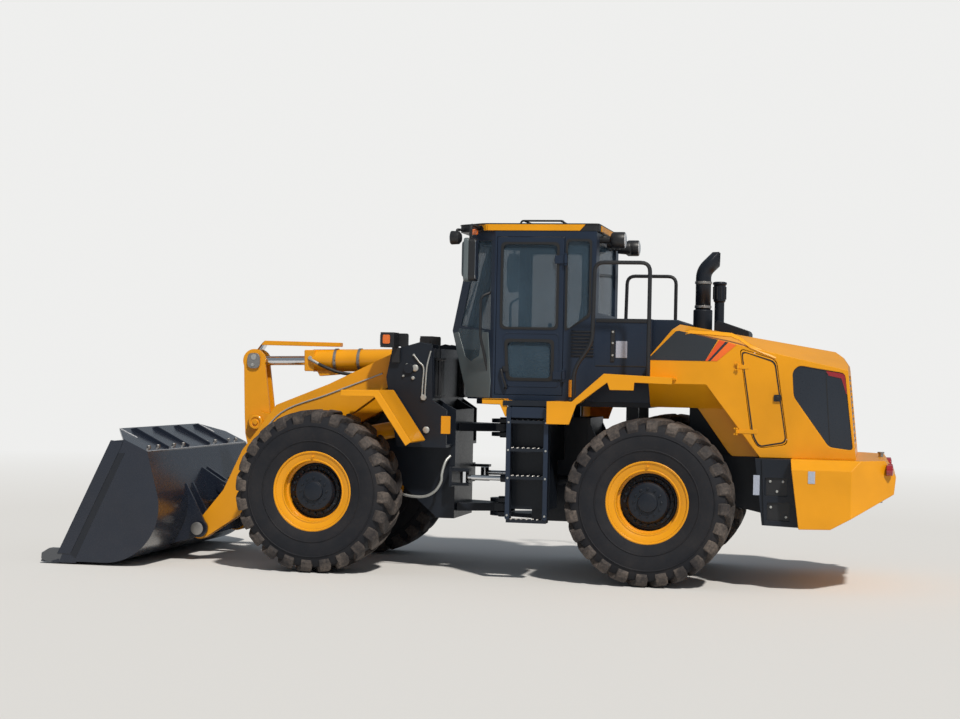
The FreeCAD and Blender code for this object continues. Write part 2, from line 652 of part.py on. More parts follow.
def make_arms():
    """Both lift arms, the cross tube between them and the carriers of the rocker."""
    ax, az = arm_pin_x, arm_pin_z
    bx, bz = bucket_pin_x, bucket_pin_z
    inner = arm_centre_y - arm_wall / 2
    outer = arm_centre_y + arm_wall / 2
    plate = side_plate("arm_plate", [
        (ax, az + arm_root_radius), (ax + 169, az + 165), (hinge_x + 1711, 1868), (hinge_x + 2276, 1639),
        (hinge_x + 2635, 1164), (hinge_x + 2833, 743), (bx - 5, bz + 105), (bx - 60, bz - 95),
        (hinge_x + 2652, 489), (hinge_x + 2440, 800), (lift_eye_x + 120, lift_eye_z - 90),
        (lift_eye_x, lift_eye_z - lift_lug_radius), (lift_eye_x - 120, lift_eye_z - 10), (hinge_x + 1780, 1400),
        (hinge_x + 1439, 1587), (ax + 204, az - 168), (ax + 80, az - arm_root_radius),
        (ax, az - arm_root_radius),
    ], inner, outer)
    bosses = [
        shaft("arm_root", "Y", (ax, az), inner, outer, arm_root_radius),
        shaft("arm_root_boss", "Y", (ax, az), front_plate_y + side_gap, tower_plate_y - plate_wall - side_gap, 100),
        shaft("arm_tip", "Y", (bx, bz), inner, outer, arm_tip_radius),
        shaft("lift_eye_boss", "Y", (lift_eye_x, lift_eye_z), inner - 20, outer + 20, 65),
    ]
    solid = fuse("arm_solid", plate, *bosses)
    half_slot = lift_slot / 2
    slot = shaft("lift_slot_cut", "Y", (lift_eye_x, lift_eye_z), arm_centre_y - half_slot,
                 arm_centre_y + half_slot, lift_slot_radius)
    root_bore = shaft("arm_root_bore", "Y", (ax, az), front_plate_y, tower_plate_y, big_pin_radius + running_gap)
    tip_bore = shaft("arm_tip_bore", "Y", (bx, bz), inner - 10, outer + 10, big_pin_radius + running_gap)
    left = cut("arm_left", solid, slot, root_bore, tip_bore)
    tube = shaft("arm_cross_tube", "Y", (cross_tube_x, cross_tube_z), -inner, inner, cross_tube_radius)
    carrier_in = fork_gap / 2 + rocker_wall + side_gap + 5
    carrier = side_plate("rocker_carrier", [
        (cross_tube_x - 60, cross_tube_z - 90), (cross_tube_x - 20, cross_tube_z + 105),
        (rocker_pin_x - 40, rocker_pin_z + 115), (rocker_pin_x + 80, rocker_pin_z + 70),
        (rocker_pin_x + 90, rocker_pin_z - 60), (rocker_pin_x - 30, rocker_pin_z - 120),
        (cross_tube_x + 60, cross_tube_z - 100),
    ], carrier_in, carrier_in + carrier_wall)
    pin = shaft("rocker_pin", "Y", (rocker_pin_x, rocker_pin_z), -carrier_in - carrier_wall - 20,
                carrier_in + carrier_wall + 20, big_pin_radius)
    node("lift_arms", fuse("lift_arms_fuse", left, mirrored("arm_right", left), tube, carrier,
                           mirrored("rocker_carrier_right", carrier), pin))


def make_rocker():
    """The tilting rocker: two plates joined by a hub and a web round the pivot."""
    inner = fork_gap / 2
    outer = inner + rocker_wall
    tx, tz, cx, cz, ex, ez = tilt_eye_x, tilt_eye_z, rocker_pin_x, rocker_pin_z, link_eye_x, link_eye_z
    plate = side_plate("rocker_plate", [
        (tx - 115, tz), (tx + 115, tz), (cx + 145, cz + 60), (cx + 135, cz - 120), (cx + 100, cz - 270),
        (ex + 85, ez - 40), (ex - 85, ez + 40), (cx - 190, cz - 300), (cx - 150, cz - 20), (cx - 130, cz + 150),
    ], inner, outer)
    top = shaft("rocker_top", "Y", (tx, tz), inner, outer, rocker_top_radius)
    foot = shaft("rocker_foot", "Y", (ex, ez), inner, outer, rocker_foot_radius)
    caps = [
        shaft("rocker_top_cap", "Y", (tx, tz), outer, outer + 15, 65),
        shaft("rocker_foot_cap", "Y", (ex, ez), outer, outer + 15, 55),
    ]
    left = fuse("rocker_left", plate, top, foot, *caps)
    hub = shaft("rocker_hub", "Y", (cx, cz), -outer, outer, rocker_hub_radius - 20)
    whole = fuse("rocker_fuse", left, mirrored("rocker_right", left), hub)
    bore = shaft("rocker_bore", "Y", (cx, cz), -outer - 10, outer + 10, big_pin_radius + running_gap)
    node("rocker", cut("rocker_cut", whole, bore))


def make_link():
    """The link between the rocker's foot and the bucket."""
    run = math.hypot(link_pin_x - link_eye_x, link_pin_z - link_eye_z)
    half = fork_gap / 2 - side_gap
    eye = shaft("link_front_eye", "Y", (link_pin_x, link_pin_z), -half, half, link_eye_radius)
    back = shaft("link_back_eye", "Y", (link_eye_x, link_eye_z), -half, half, link_eye_radius)
    web = doc.addObject("Part::Box", "link_web")
    bind(web, "Length", run)
    bind(web, "Width", 2 * half - 20)
    bind(web, "Height", link_height)
    angle = math.degrees(math.atan2(link_pin_z - link_eye_z, link_pin_x - link_eye_x))
    turn = Rotation(Vector(0, 1, 0), -angle)
    corner = Vector(link_eye_x, 0, link_eye_z) + turn.multVec(Vector(0, float(10 - half), -float(link_height) / 2))
    web.Placement = Placement(corner, turn)
    bore = shaft("link_bore", "Y", (link_pin_x, link_pin_z), -half - 10, half + 10, small_pin_radius + running_gap)
    node("tilt_link", cut("link_cut", fuse("link_fuse", eye, back, web), bore))


def bucket_profile(inset):
    """Side outline of the bucket's inside or outside, drawn in from the outside by inset."""
    lean = math.atan2(bucket_top_x - bucket_heel_x, bucket_top_z - bucket_floor_z)
    shift = float(inset) / math.cos(lean)
    rise = float(inset)
    heel = bucket_heel_x + shift + rise * math.tan(lean)
    top = bucket_top_x + shift
    return [(bucket_lip_x, bucket_floor_z + rise), (heel, bucket_floor_z + rise), (top, bucket_top_z),
            (guard_corner_x, bucket_side_z + 12), (bucket_side_x, bucket_side_z)]


def make_bucket():
    """Bucket shell, side plates, spill guard and the ears for the arms and the link."""
    half = bucket_width / 2
    outside = side_plate("bucket_outside", bucket_profile(0), -half, half)
    heel = bucket_profile(0)[1]
    round_corners(outside, "bucket_heel", bucket_curve, [heel])
    hollow = side_plate("bucket_hollow", bucket_profile(bucket_wall), bucket_wall - half, half - bucket_wall)
    inner_heel = bucket_profile(bucket_wall)[1]
    round_corners(hollow, "bucket_inner_heel", bucket_curve - bucket_wall, [inner_heel])
    mouth = side_plate("bucket_mouth", [
        (bucket_lip_x + 1, bucket_floor_z + bucket_wall), (bucket_side_x - 200, bucket_floor_z + bucket_wall + 400),
        (bucket_top_x + bucket_wall + 1, bucket_top_z), (bucket_side_x, bucket_side_z + 200),
        (bucket_lip_x + 400, bucket_side_z),
    ], bucket_wall - half, half - bucket_wall)
    shell = cut("bucket_shell", outside, hollow, mouth)
    guard_strip = side_plate("spill_guard_strip", [
        (bucket_top_x, bucket_top_z - 20), (bucket_top_x + bucket_wall, bucket_top_z - 20),
        (guard_top_x, guard_top_z - 20), (guard_top_x, guard_top_z), (bucket_top_x, bucket_top_z + 12),
    ], -half, half)
    guard_plan = flat_plate("spill_guard_plan", [
        (bucket_top_x - 10, -half), (guard_corner_x, -half), (guard_top_x, -guard_half_width),
        (guard_top_x, guard_half_width), (guard_corner_x, half), (bucket_top_x - 10, half),
    ], bucket_top_z - 50, guard_top_z + 50)
    guard = common("spill_guard", guard_strip, guard_plan)
    ears = []
    arm_half = arm_wall / 2 + 10
    ear = [
        (bucket_pin_x - 90, bucket_pin_z - 20), (bucket_pin_x - 70, bucket_pin_z + 60),
        (bucket_heel_x + 200, 800), (bucket_heel_x + 420, 800), (bucket_heel_x + 520, 120),
        (bucket_pin_x + 30, bucket_pin_z - 90),
    ]
    for side, y in (("in", arm_centre_y - arm_half - ear_wall), ("out", arm_centre_y + arm_half)):
        ears.append(side_plate(f"arm_ear_{side}", ear, y, y + ear_wall))
        ears.append(shaft(f"arm_ear_{side}_eye", "Y", (bucket_pin_x, bucket_pin_z), y, y + ear_wall, ear_radius))
    ears.append(shaft("bucket_pin", "Y", (bucket_pin_x, bucket_pin_z), arm_centre_y - arm_half - ear_wall - 15,
                      arm_centre_y + arm_half + ear_wall + 15, big_pin_radius))
    link_ear_y = fork_gap / 2 + side_gap
    ears.append(side_plate("link_ear", [
        (link_pin_x - 75, link_pin_z - 20), (link_pin_x - 60, link_pin_z + 50), (bucket_heel_x + 340, 1000),
        (bucket_heel_x + 400, 500), (link_pin_x, link_pin_z - 78),
    ], link_ear_y, link_ear_y + ear_wall))
    ears.append(shaft("link_ear_eye", "Y", (link_pin_x, link_pin_z), link_ear_y, link_ear_y + ear_wall, 78))
    ears.append(shaft("link_pin", "Y", (link_pin_x, link_pin_z), 0, link_ear_y + ear_wall + 15, small_pin_radius))
    left = cut("bucket_ears_left", fuse("bucket_ears", *ears), hollow)
    whole = fuse("bucket_fuse", shell, guard, left, mirrored("bucket_ears_right", left))
    node("bucket", whole)


def make_bucket_edge():
    """Cutting edge under the lip with its row of teeth, and the corner adapters."""
    half = bucket_width / 2
    plate = side_plate("edge_plate", [
        (bucket_lip_x - 180, bucket_floor_z - 15), (bucket_lip_x + 70, bucket_floor_z - 15),
        (bucket_lip_x + 90, bucket_floor_z - 5), (bucket_lip_x, bucket_floor_z + 25),
        (bucket_lip_x, bucket_floor_z), (bucket_lip_x - 180, bucket_floor_z),
    ], -half, half)
    tooth = [
        (bucket_lip_x + 40, bucket_floor_z - 15), (tooth_tip_x, bucket_floor_z - 10), (tooth_tip_x, bucket_floor_z + 5),
        (bucket_lip_x + 20, bucket_floor_z + 70), (bucket_lip_x, bucket_floor_z + 70),
        (bucket_lip_x, bucket_floor_z + 24), (bucket_lip_x + 40, bucket_floor_z + 5),
    ]
    teeth = []
    gaps = int(tooth_count) - 1
    for i in range(int(tooth_count)):
        y = (bucket_width - 100) * (i / gaps - 0.5)
        teeth.append(side_plate(f"tooth_{i}", tooth, y - 45, y + 45))
    node("bucket_edge", fuse("bucket_edge_fuse", plate, *teeth))


def cylinder_axis(start, end):
    """Angle above X in degrees, and the length, between two (x, z) places."""
    dx = float(end[0]) - float(start[0])
    dz = float(end[1]) - float(start[1])
    return math.degrees(math.atan2(dz, dx)), math.hypot(dx, dz)


def barrel_shape(name, radius, start, end, rod_radius, eye_radius, eye_half, pin_radius):
    """A cylinder barrel along local X with its eye at the origin, as one cut solid."""
    tube = shaft(name + "_tube", "X", (0, 0), start, end - 70, radius)
    gland = shaft(name + "_gland", "X", (0, 0), end - 70, end, radius - 12)
    neck = box(name + "_neck", (0, start + 10), (-eye_half * 0.8, eye_half * 0.8), (-eye_radius * 0.7, eye_radius * 0.7))
    eye = shaft(name + "_eye", "Y", (0, 0), -eye_half, eye_half, eye_radius)
    bore = shaft(name + "_bore", "Y", (0, 0), -eye_half - 10, eye_half + 10, pin_radius + running_gap)
    inside = shaft(name + "_inside", "X", (0, 0), start + 30, end + 10, rod_radius + rod_gap)
    return cut(name, fuse(name + "_solid", tube, gland, neck, eye), bore, inside)


def rod_shape(name, radius, start, end, eye_radius, eye_half):
    """A piston rod along local X from start to its eye at end."""
    rod = shaft(name + "_rod", "X", (0, 0), start, end, radius)
    eye = shaft(name + "_eye", "Y", (end, 0), -eye_half, eye_half, eye_radius)
    return fuse(name, rod, eye)


def make_tilt_cylinder():
    angle, length = cylinder_axis((tilt_pin_x, tilt_pin_z), (tilt_eye_x, tilt_eye_z))
    barrel = barrel_shape("tilt_barrel_shape", tilt_barrel_radius, tilt_barrel_start, tilt_barrel_end,
                          tilt_rod_radius, Size(90, "90"), fork_gap / 2, big_pin_radius)
    barrel.Placement = tilted(tilt_pin_x, tilt_pin_z, angle)
    node("tilt_barrel", barrel)
    rod = rod_shape("tilt_rod_shape", tilt_rod_radius, tilt_rod_inside, Size(length, str(length)), 95,
                    fork_gap / 2 - side_gap)
    rod.Placement = tilted(tilt_pin_x, tilt_pin_z, angle)
    guard = side_plate("rod_guard", [
        (tilt_eye_x + 10, tilt_eye_z + 60), (tilt_eye_x - 100, tilt_eye_z + 209), (tilt_eye_x - 928, tilt_eye_z + 201),
        (tilt_eye_x - 928, tilt_eye_z + 187), (tilt_eye_x - 108, tilt_eye_z + 195), (tilt_eye_x - 30, tilt_eye_z + 60),
    ], -50, 50)
    node("tilt_rod", fuse("tilt_rod_fuse", rod, guard))


def make_lift_cylinders():
    angle, length = cylinder_axis((lift_pin_x, lift_pin_z), (lift_eye_x, lift_eye_z))
    barrel = barrel_shape("lift_barrel_shape", lift_barrel_radius, lift_barrel_start, lift_barrel_end,
                          lift_rod_radius, Size(80, "80"), Size(70, "70"), small_pin_radius)
    barrel.Placement = tilted(lift_pin_x, lift_pin_z, angle)
    barrel.Placement.Base.y = arm_centre_y
    node("lift_barrels", pair("lift_barrel_pair", barrel))
    rod = rod_shape("lift_rod_shape", lift_rod_radius, lift_rod_inside, Size(length, str(length)), 75,
                    lift_slot / 2 - side_gap)
    rod.Placement = tilted(lift_pin_x, lift_pin_z, angle)
    rod.Placement.Base.y = arm_centre_y
    node("lift_rods", pair("lift_rod_pair", rod))


def make_steering():
    run_x = float(steer_front_x) - float(steer_rear_x)
    run_y = float(steer_front_y) - float(steer_rear_y)
    length = math.hypot(run_x, run_y)
    angle = math.degrees(math.atan2(run_y, run_x))
    # The eyes turn about vertical pins, so the shape is laid over before it is aimed.
    for side, label in ((1, "left"), (-1, "right")):
        aim = Rotation(Vector(0, 0, 1), angle * side).multiply(Rotation(Vector(1, 0, 0), 90))
        where = Placement(Vector(steer_rear_x, steer_rear_y * side, steer_z), aim)
        barrel = barrel_shape(f"steer_barrel_{label}_shape", steer_barrel_radius, steer_barrel_start,
                              steer_barrel_end, steer_rod_radius, Size(45, "45"), steer_eye_wall / 2,
                              steer_pin_radius)
        barrel.Placement = where
        node(f"steer_barrel_{label}", barrel)
        rod = rod_shape(f"steer_rod_{label}_shape", steer_rod_radius, steer_rod_inside, Size(length, str(length)),
                        45, steer_eye_wall / 2)
        rod.Placement = where
        node(f"steer_rod_{label}", rod)


def cab_block(name, inset):
    """The cab's outer form drawn in by inset: a side outline met by a plan outline."""
    back = cab_back_x + inset
    floor = deck_top_z + inset
    top = cab_top_z - inset
    side = side_plate(name + "_side", [
        (back, floor), (cab_toe_x - inset, floor), (cab_nose_x - inset, cab_nose_z), (cab_brow_x - inset, top),
        (back, top),
    ], -cab_half_width, cab_half_width)
    half = cab_half_width - inset
    nose = cab_nose_half - inset * 0.4
    post = cab_post_x - inset * 0.4
    plan = flat_plate(name + "_plan", [
        (back, -half), (post, -half), (cab_nose_x - inset, -nose), (cab_nose_x - inset, nose), (post, half),
        (back, half),
    ], deck_top_z - 10, cab_top_z + 10)
    return common(name, side, plan)


def window_cutters():
    """Prisms through the walls for every fixed window and the door opening."""
    post_low, post_high = hinge_x - 760, hinge_x - 990
    inner = cab_half_width - 100
    outer = cab_half_width + 100
    cutters = [
        box("windscreen_cut", (hinge_x, cab_nose_x + 200), (50 - cab_nose_half, cab_nose_half - 50),
            (cab_nose_z + 30, cab_top_z - 90)),
        box("toe_window_cut", (hinge_x, cab_nose_x + 200), (50 - cab_nose_half, cab_nose_half - 50),
            (1950, cab_nose_z - 60)),
        box("rear_window_cut", (cab_back_x - 100, cab_back_x + 100), (-600, 600), (ac_top_z + 60, cab_top_z - 90)),
        box("right_window_cut", (door_back_x + 70, door_front_x - 60), (-outer, -inner), (2440, door_high_z - 60)),
    ]
    corner = [
        (hinge_x + 10, 2440), (cab_nose_x - 110, 2490), (cab_brow_x - 70, cab_top_z - 90), (hinge_x + 10, cab_top_z - 90),
    ]
    rear_side = [(post_low, 2450), (post_low, cab_top_z - 90), (post_high, cab_top_z - 90), (post_high, 2600)]
    for label, points, low in (("corner", corner, 300), ("rear_side", rear_side, inner)):
        left = side_plate(f"{label}_window_cut", points, low, outer)
        cutters += [left, mirrored(f"{label}_window_cut_right", left)]
    return cutters


def make_cab():
    """Hollow cab with its windows cut, the glass in them, the roof and the hinged door."""
    outer = cab_block("cab_outer", Size(0, "0"))
    inner = cab_block("cab_inner", cab_wall)
    glass_out = cab_block("glass_outer", glass_inset)
    glass_in = cab_block("glass_inner", glass_inset + glass_wall)
    windows = group("cab_windows", *window_cutters())
    opening = box("door_opening", (door_back_x, door_front_x), (cab_half_width - 100, cab_half_width + 100),
                  (door_low_z, door_high_z))
    frame = cut("cab_frame_cut", outer, inner, windows, opening)
    fixed, moving = hinge_pair("door_hinge", door_back_x - 12, cab_half_width, (2000, 3150), 1)
    node("cab_frame", fuse("cab_frame_fuse", frame, fixed))
    node("cab_glass", common("cab_glass_cut", cut("glass_shell", glass_out, glass_in), windows))
    gap = side_gap
    panel = box("door_panel", (door_back_x + gap, door_front_x - gap), (cab_half_width - cab_wall, cab_half_width),
                (door_low_z + gap, door_high_z - gap))
    panes = [
        ("upper", (door_back_x + 70, door_front_x - 60), (2470, door_high_z - 70)),
        ("lower", (door_back_x + 110, door_front_x - 110), (1960, 2340)),
    ]
    holes = []
    glass = []
    for label, across, up in panes:
        holes.append(box(f"door_{label}_hole", across, (cab_half_width - 100, cab_half_width + 100), up))
        glass.append(box(f"door_{label}_pane", across, (cab_half_width - 26, cab_half_width - 18), up))
    node("cab_door", fuse("cab_door_fuse", cut("door_panel_cut", panel, *holes), moving))
    node("door_glass", group("door_glass_pair", *glass))
    roof = flat_plate("roof_plate", [
        (roof_back_x, -roof_half_width), (hinge_x + 100, -roof_half_width), (roof_front_x, -560),
        (roof_front_x, 560), (hinge_x + 100, roof_half_width), (roof_back_x, roof_half_width),
    ], cab_top_z, cab_top_z + roof_height)
    node("cab_roof", roof)


def hinge_pair(name, x, wall_y, heights, side):
    """Knuckle hinges on a side wall: returns the fixed and the moving half of all of them.

    The moving half reaches forward of x for a door hinged at its rear edge (side 1),
    and behind x for a lid hinged at its front edge (side -1)."""
    axis_y = wall_y + 20
    pin = 10
    fixed = []
    moving = []
    for i, z in enumerate(heights):
        fixed.append(shaft(f"{name}_pin_{i}", "Z", (x, axis_y), z - 60, z + 60, pin))
        for k, low in enumerate((z - 60, z + 42)):
            fixed.append(box(f"{name}_ear_{i}_{k}", (x - 12, x + 12), (wall_y - 5, axis_y + 12), (low, low + 18)))
        knuckle = shaft(f"{name}_knuckle_{i}", "Z", (x, axis_y), z - 40, z + 40, 18)
        reach = sorted((x, x + 110 * side))
        strap = box(f"{name}_strap_{i}", reach, (wall_y + 6, wall_y + 16), (z - 40, z + 40))
        seat = sorted((x + 18 * side, x + 110 * side))
        foot = box(f"{name}_foot_{i}", seat, (wall_y, wall_y + 8), (z - 40, z + 40))
        bore = shaft(f"{name}_bore_{i}", "Z", (x, axis_y), z - 50, z + 50, pin + running_gap)
        moving.append(cut(f"{name}_leaf_{i}", fuse(f"{name}_leaf_solid_{i}", knuckle, strap, foot), bore))
    return fuse(name + "_fixed", *fixed), group(name + "_moving", *moving)


def hood_block(name, inset, drop):
    """The hood's outer form drawn in by inset, its underside lowered by drop."""
    front = ac_back_x - inset
    crown = hood_front_top_z - inset
    side = side_plate(name + "_side", [
        (front, 2012 - drop), (front, crown), (hinge_x - 1851, crown), (hood_back_high_x + 127, hood_back_top_z - inset),
        (hood_back_high_x + inset, hood_back_top_z - 134 - inset), (hood_back_low_x + inset, hood_floor_z - drop),
        (hinge_x - 2416, hood_floor_z - drop), (hinge_x - 2416, 1306 - drop), (hinge_x - 2156, 1720 - drop),
        (hinge_x - 1890, 2012 - drop),
    ], -hood_half_width, hood_half_width)
    half = hood_half_width - inset
    section = cross_plate(name + "_section", [
        (-half, 500), (half, 500), (half, hood_side_z), (hood_top_half, hood_crown_z - inset),
        (-hood_top_half, hood_crown_z - inset), (-half, hood_side_z),
    ], hood_back_low_x - 10, ac_back_x + 10)
    return common(name, side, section)


def make_hood():
    """Hood shell with its two lids and the grilles let into its rear."""
    outer = hood_block("hood_outer", Size(0, "0"), 0)
    inner = hood_block("hood_inner", hood_wall, 100)
    shell = cut("hood_wall_shell", outer, inner)
    side_grille = side_plate("side_grille_cut", [
        (hinge_x - 2985, 2120), (hood_back_high_x + 60, 2080), (hood_back_low_x + 70, 1340), (hinge_x - 3270, 1340),
    ], -hood_half_width - 50, hood_half_width + 50)
    back_grille = box("back_grille_cut", (hood_back_low_x - 50, hood_back_high_x + 60), (-760, 760), (1340, 2060))
    cutter = group("grille_cutter", side_grille, back_grille)
    hatches = box("hatch_openings", (hatch_back_x, hatch_front_x), (-hood_half_width - 50, hood_half_width + 50),
                  (hatch_low_z, hatch_high_z))
    fixed, moving = hinge_pair("hatch_hinge", hatch_front_x + 12, hood_half_width, (1500, 2120), -1)
    body = cut("hood_opened", shell, cutter, hatches)
    node("hood_shell", fuse("hood_fuse", body, fixed, mirrored("hatch_hinge_fixed_right", fixed)))
    node("rear_grille", common("grille_panels", shell, cutter))
    panel = box("hatch_panel", (hatch_back_x + side_gap, hatch_front_x - side_gap),
                (hood_half_width - hood_wall, hood_half_width), (hatch_low_z + side_gap, hatch_high_z - side_gap))
    left = fuse("hatch_left_fuse", panel, moving)
    node("hood_door_left", left)
    node("hood_door_right", mirrored("hatch_right", left))


def make_counterweight():
    side = side_plate("weight_side", [
        (weight_front_x, frame_top_z), (weight_low_x, weight_low_z), (hinge_x - 3373, 608), (hinge_x - 3954, 934),
        (weight_back_x, 1099), (hinge_x - 3865, frame_top_z + 5), (weight_front_x, frame_top_z + 5),
    ], -weight_half_width, weight_half_width)
    plan = flat_plate("weight_plan", [
        (weight_front_x + 10, -weight_half_width), (hinge_x - 3560, -weight_half_width), (weight_back_x, -820),
        (weight_back_x, 820), (hinge_x - 3560, weight_half_width), (weight_front_x + 10, weight_half_width),
    ], weight_low_z - 10, frame_top_z + 20)
    block = common("weight_block", side, plan)
    slot = box("tow_slot", (weight_back_x - 10, hinge_x - 3700), (-130, 130), (920, 1040))
    bore = shaft("tow_bore", "Z", (hinge_x - 3830, 0), 700, 1300, 25)
    node("counterweight", cut("counterweight_cut", block, slot, bore))


def make_side_tanks():
    """Tanks behind the ladders and the boxes ahead of the counterweight."""
    tank = box("side_tank", (hinge_x - 680, hinge_x - 280), (660, 1120), (690, deck_top_z - deck_wall))
    bracket = box("side_tank_bracket", (hinge_x - 680, hinge_x - 620), (neck_half_width, 660), (1150, 1500))
    case = side_plate("battery_case", [
        (hinge_x - 2651, frame_top_z), (hinge_x - 2727, 614), (weight_low_x, weight_low_z),
        (weight_front_x, frame_top_z),
    ], rear_plate_y, 1050)
    windows = [box(f"battery_window_{i}", (hinge_x - 2980, hinge_x - 2830), (1000, 1100), (low, low + 150))
               for i, low in enumerate((730, 980))]
    left = group("side_tanks_left", fuse("side_tank_fuse", tank, bracket), cut("battery_case_cut", case, *windows))
    node("side_tanks", pair("side_tanks_pair", left))


def fender_block():
    """The space under the left rear fender's upper face, used to trim what stands on it."""
    return side_plate("rear_fender_block", [
        (hinge_x - 680, 1500), (hinge_x - 680, deck_top_z), (hinge_x - 920, deck_top_z), (hinge_x - 1226, 2025),
        (ac_back_x - 270, 2000), (ac_back_x - 270, 1500),
    ], cab_half_width, fender_out_y)


def make_rear_fenders():
    """Yellow fenders over the rear tyres with the front lip by the steps."""
    wall = fender_wall
    top = side_plate("rear_fender_top", [
        (hinge_x - 680, deck_top_z - 200), (hinge_x - 680, deck_top_z), (hinge_x - 920, deck_top_z),
        (hinge_x - 1226, 2025), (ac_back_x - 270, 2000), (ac_back_x - 270, 2000 - wall), (hinge_x - 1234, 2003),
        (hinge_x - 928, deck_top_z - wall), (hinge_x - 700, deck_top_z - wall), (hinge_x - 700, deck_top_z - 200),
    ], cab_half_width, fender_out_y)
    node("rear_fenders", pair("rear_fender_pair", top))


def make_access_steps():
    """Platform beside the cab, ladder side plates and treads."""
    platform = box("step_platform", (hinge_x - 680, hinge_x - 240), (cab_half_width, step_out_y),
                   (deck_top_z - deck_wall, deck_top_z))
    parts = [platform]
    for label, x in (("front", step_front_x - 24), ("back", step_back_x)):
        parts.append(box(f"ladder_{label}", (x, x + 24), (1150, step_out_y), (step_low_z, deck_top_z - deck_wall)))
    for i, z in enumerate((570, 990, 1260, 1530)):
        parts.append(box(f"tread_{i}", (step_back_x, step_front_x), (1150, step_out_y), (z, z + 30)))
    left = fuse("access_left", *parts)
    node("access_steps", pair("access_pair", left))


def make_rails():
    """Tube rails beside the cab, the mirrors on their arms and the work lamps under the roof."""
    y = 1200
    rail = tube_run("deck_rail", [
        (hinge_x - 910, y, 1700), (hinge_x - 1098, y, 3100), (hinge_x - 1631, y, 3100), (hinge_x - 1631, y, 1950),
    ], rail_radius)
    mirror_x = hinge_x + 80
    arm = tube_run("mirror_arm", [
        (mirror_x, cab_half_width, cab_top_z + 35), (mirror_x, 1180, cab_top_z + 35), (mirror_x, 1180, 3300),
    ], 15)
    mirror = box("mirror_case", (mirror_x - 55, mirror_x + 55), (1070, 1290), (2885, 3320))
    front_lamp = box("front_work_lamp", (hinge_x + 300, hinge_x + 390), (460, 600), (cab_top_z - 130, cab_top_z))
    rear_lamp = box("rear_work_lamp", (cab_back_x - 90, cab_back_x), (520, 680), (cab_top_z - 160, cab_top_z - 20))
    left = group("rails_left", cut("deck_rail_cut", rail, fender_block()), fuse("mirror_left", arm, mirror),
                 front_lamp, rear_lamp)
    node("rails_and_lamps", pair("rails_pair", left))


def make_exhaust():
    x = hinge_x - 1985
    stack = shaft("exhaust_stack", "Z", (x, 0), hood_front_top_z - 20, 3080, 85)
    bend = ball("exhaust_bend", (x, 0, 3080), 85)
    tip = bar("exhaust_tip", (x, 0, 3080), (x - 190, 0, 3250), 85)
    cap_x = x - 400
    stem = shaft("cleaner_stem", "Z", (cap_x, 0), hood_front_top_z - 110, 2760, 60)
    bowl = shaft("cleaner_bowl", "Z", (cap_x, 0), 2760, 2930, 130)
    pipes = group("exhaust_group", fuse("exhaust_fuse", stack, bend, tip), fuse("cleaner_fuse", stem, bowl))
    node("exhaust", cut("exhaust_cut", pipes, hood_block("exhaust_seat", Size(0, "0"), 0)))


def make_small_pieces():
    """Engine block, air box behind the cab, seat, steering column, fenders and lamps."""
    inner = rear_plate_y - plate_wall
    node("engine_block", box("engine_box", (hinge_x - 2850, hinge_x - 1960), (-inner, inner), (1080, 2000)))
    node("ac_box", box("ac_case", (ac_back_x, cab_back_x), (-cab_half_width, cab_half_width), (deck_top_z, ac_top_z)))
    floor = deck_top_z + cab_wall
    seat_x = hinge_x - 560
    seat = fuse("seat_fuse",
                box("seat_base", (seat_x - 170, seat_x + 170), (-170, 170), (floor, floor + 320)),
                box("seat_cushion", (seat_x - 250, seat_x + 260), (-260, 260), (floor + 320, floor + 450)),
                box("seat_back", (seat_x - 330, seat_x - 210), (-250, 250), (floor + 330, floor + 1050)))
    column = bar("column_tube", (hinge_x + 55, 0, floor + 40), (hinge_x - 60, 0, floor + 620), 45)
    dash = box("dash_box", (hinge_x - 20, hinge_x + 180), (-160, 160), (floor, floor + 500))
    wheel = doc.addObject("Part::Torus", "steering_rim")
    wheel.Radius1 = 190
    wheel.Radius2 = 15
    aim = Rotation(Vector(0, 1, 0), -20)
    wheel.Placement = Placement(Vector(hinge_x - 70, 0, floor + 640), aim)
    spoke = box("steering_spoke", (hinge_x - 80, hinge_x - 60), (-190, 190), (floor + 610, floor + 640))
    node("cab_interior", group("cab_interior_group", seat, fuse("column_fuse", column, dash, wheel, spoke)))
    fender = side_plate("front_fender_plate", [
        (hinge_x + 1376, 1740), (hinge_x + 1376, 1800), (hinge_x + 990, 1795), (hinge_x + 590, 1310),
        (hinge_x + 610, 1295), (hinge_x + 1000, 1770), (hinge_x + 1356, 1778), (hinge_x + 1356, 1740),
    ], tower_plate_y, fender_out_y)
    node("front_fenders", pair("front_fender_pair", fender))
    lamp = box("headlamp_case", (hinge_x + 960, hinge_x + 1100), (tower_plate_y, tower_plate_y + 200), (2250, 2400))
    bracket = box("headlamp_bracket", (hinge_x + 940, hinge_x + 1020), (tower_plate_y, tower_plate_y + 40), (2100, 2250))
    node("headlamps", pair("headlamp_pair", fuse("headlamp_fuse", lamp, bracket)))


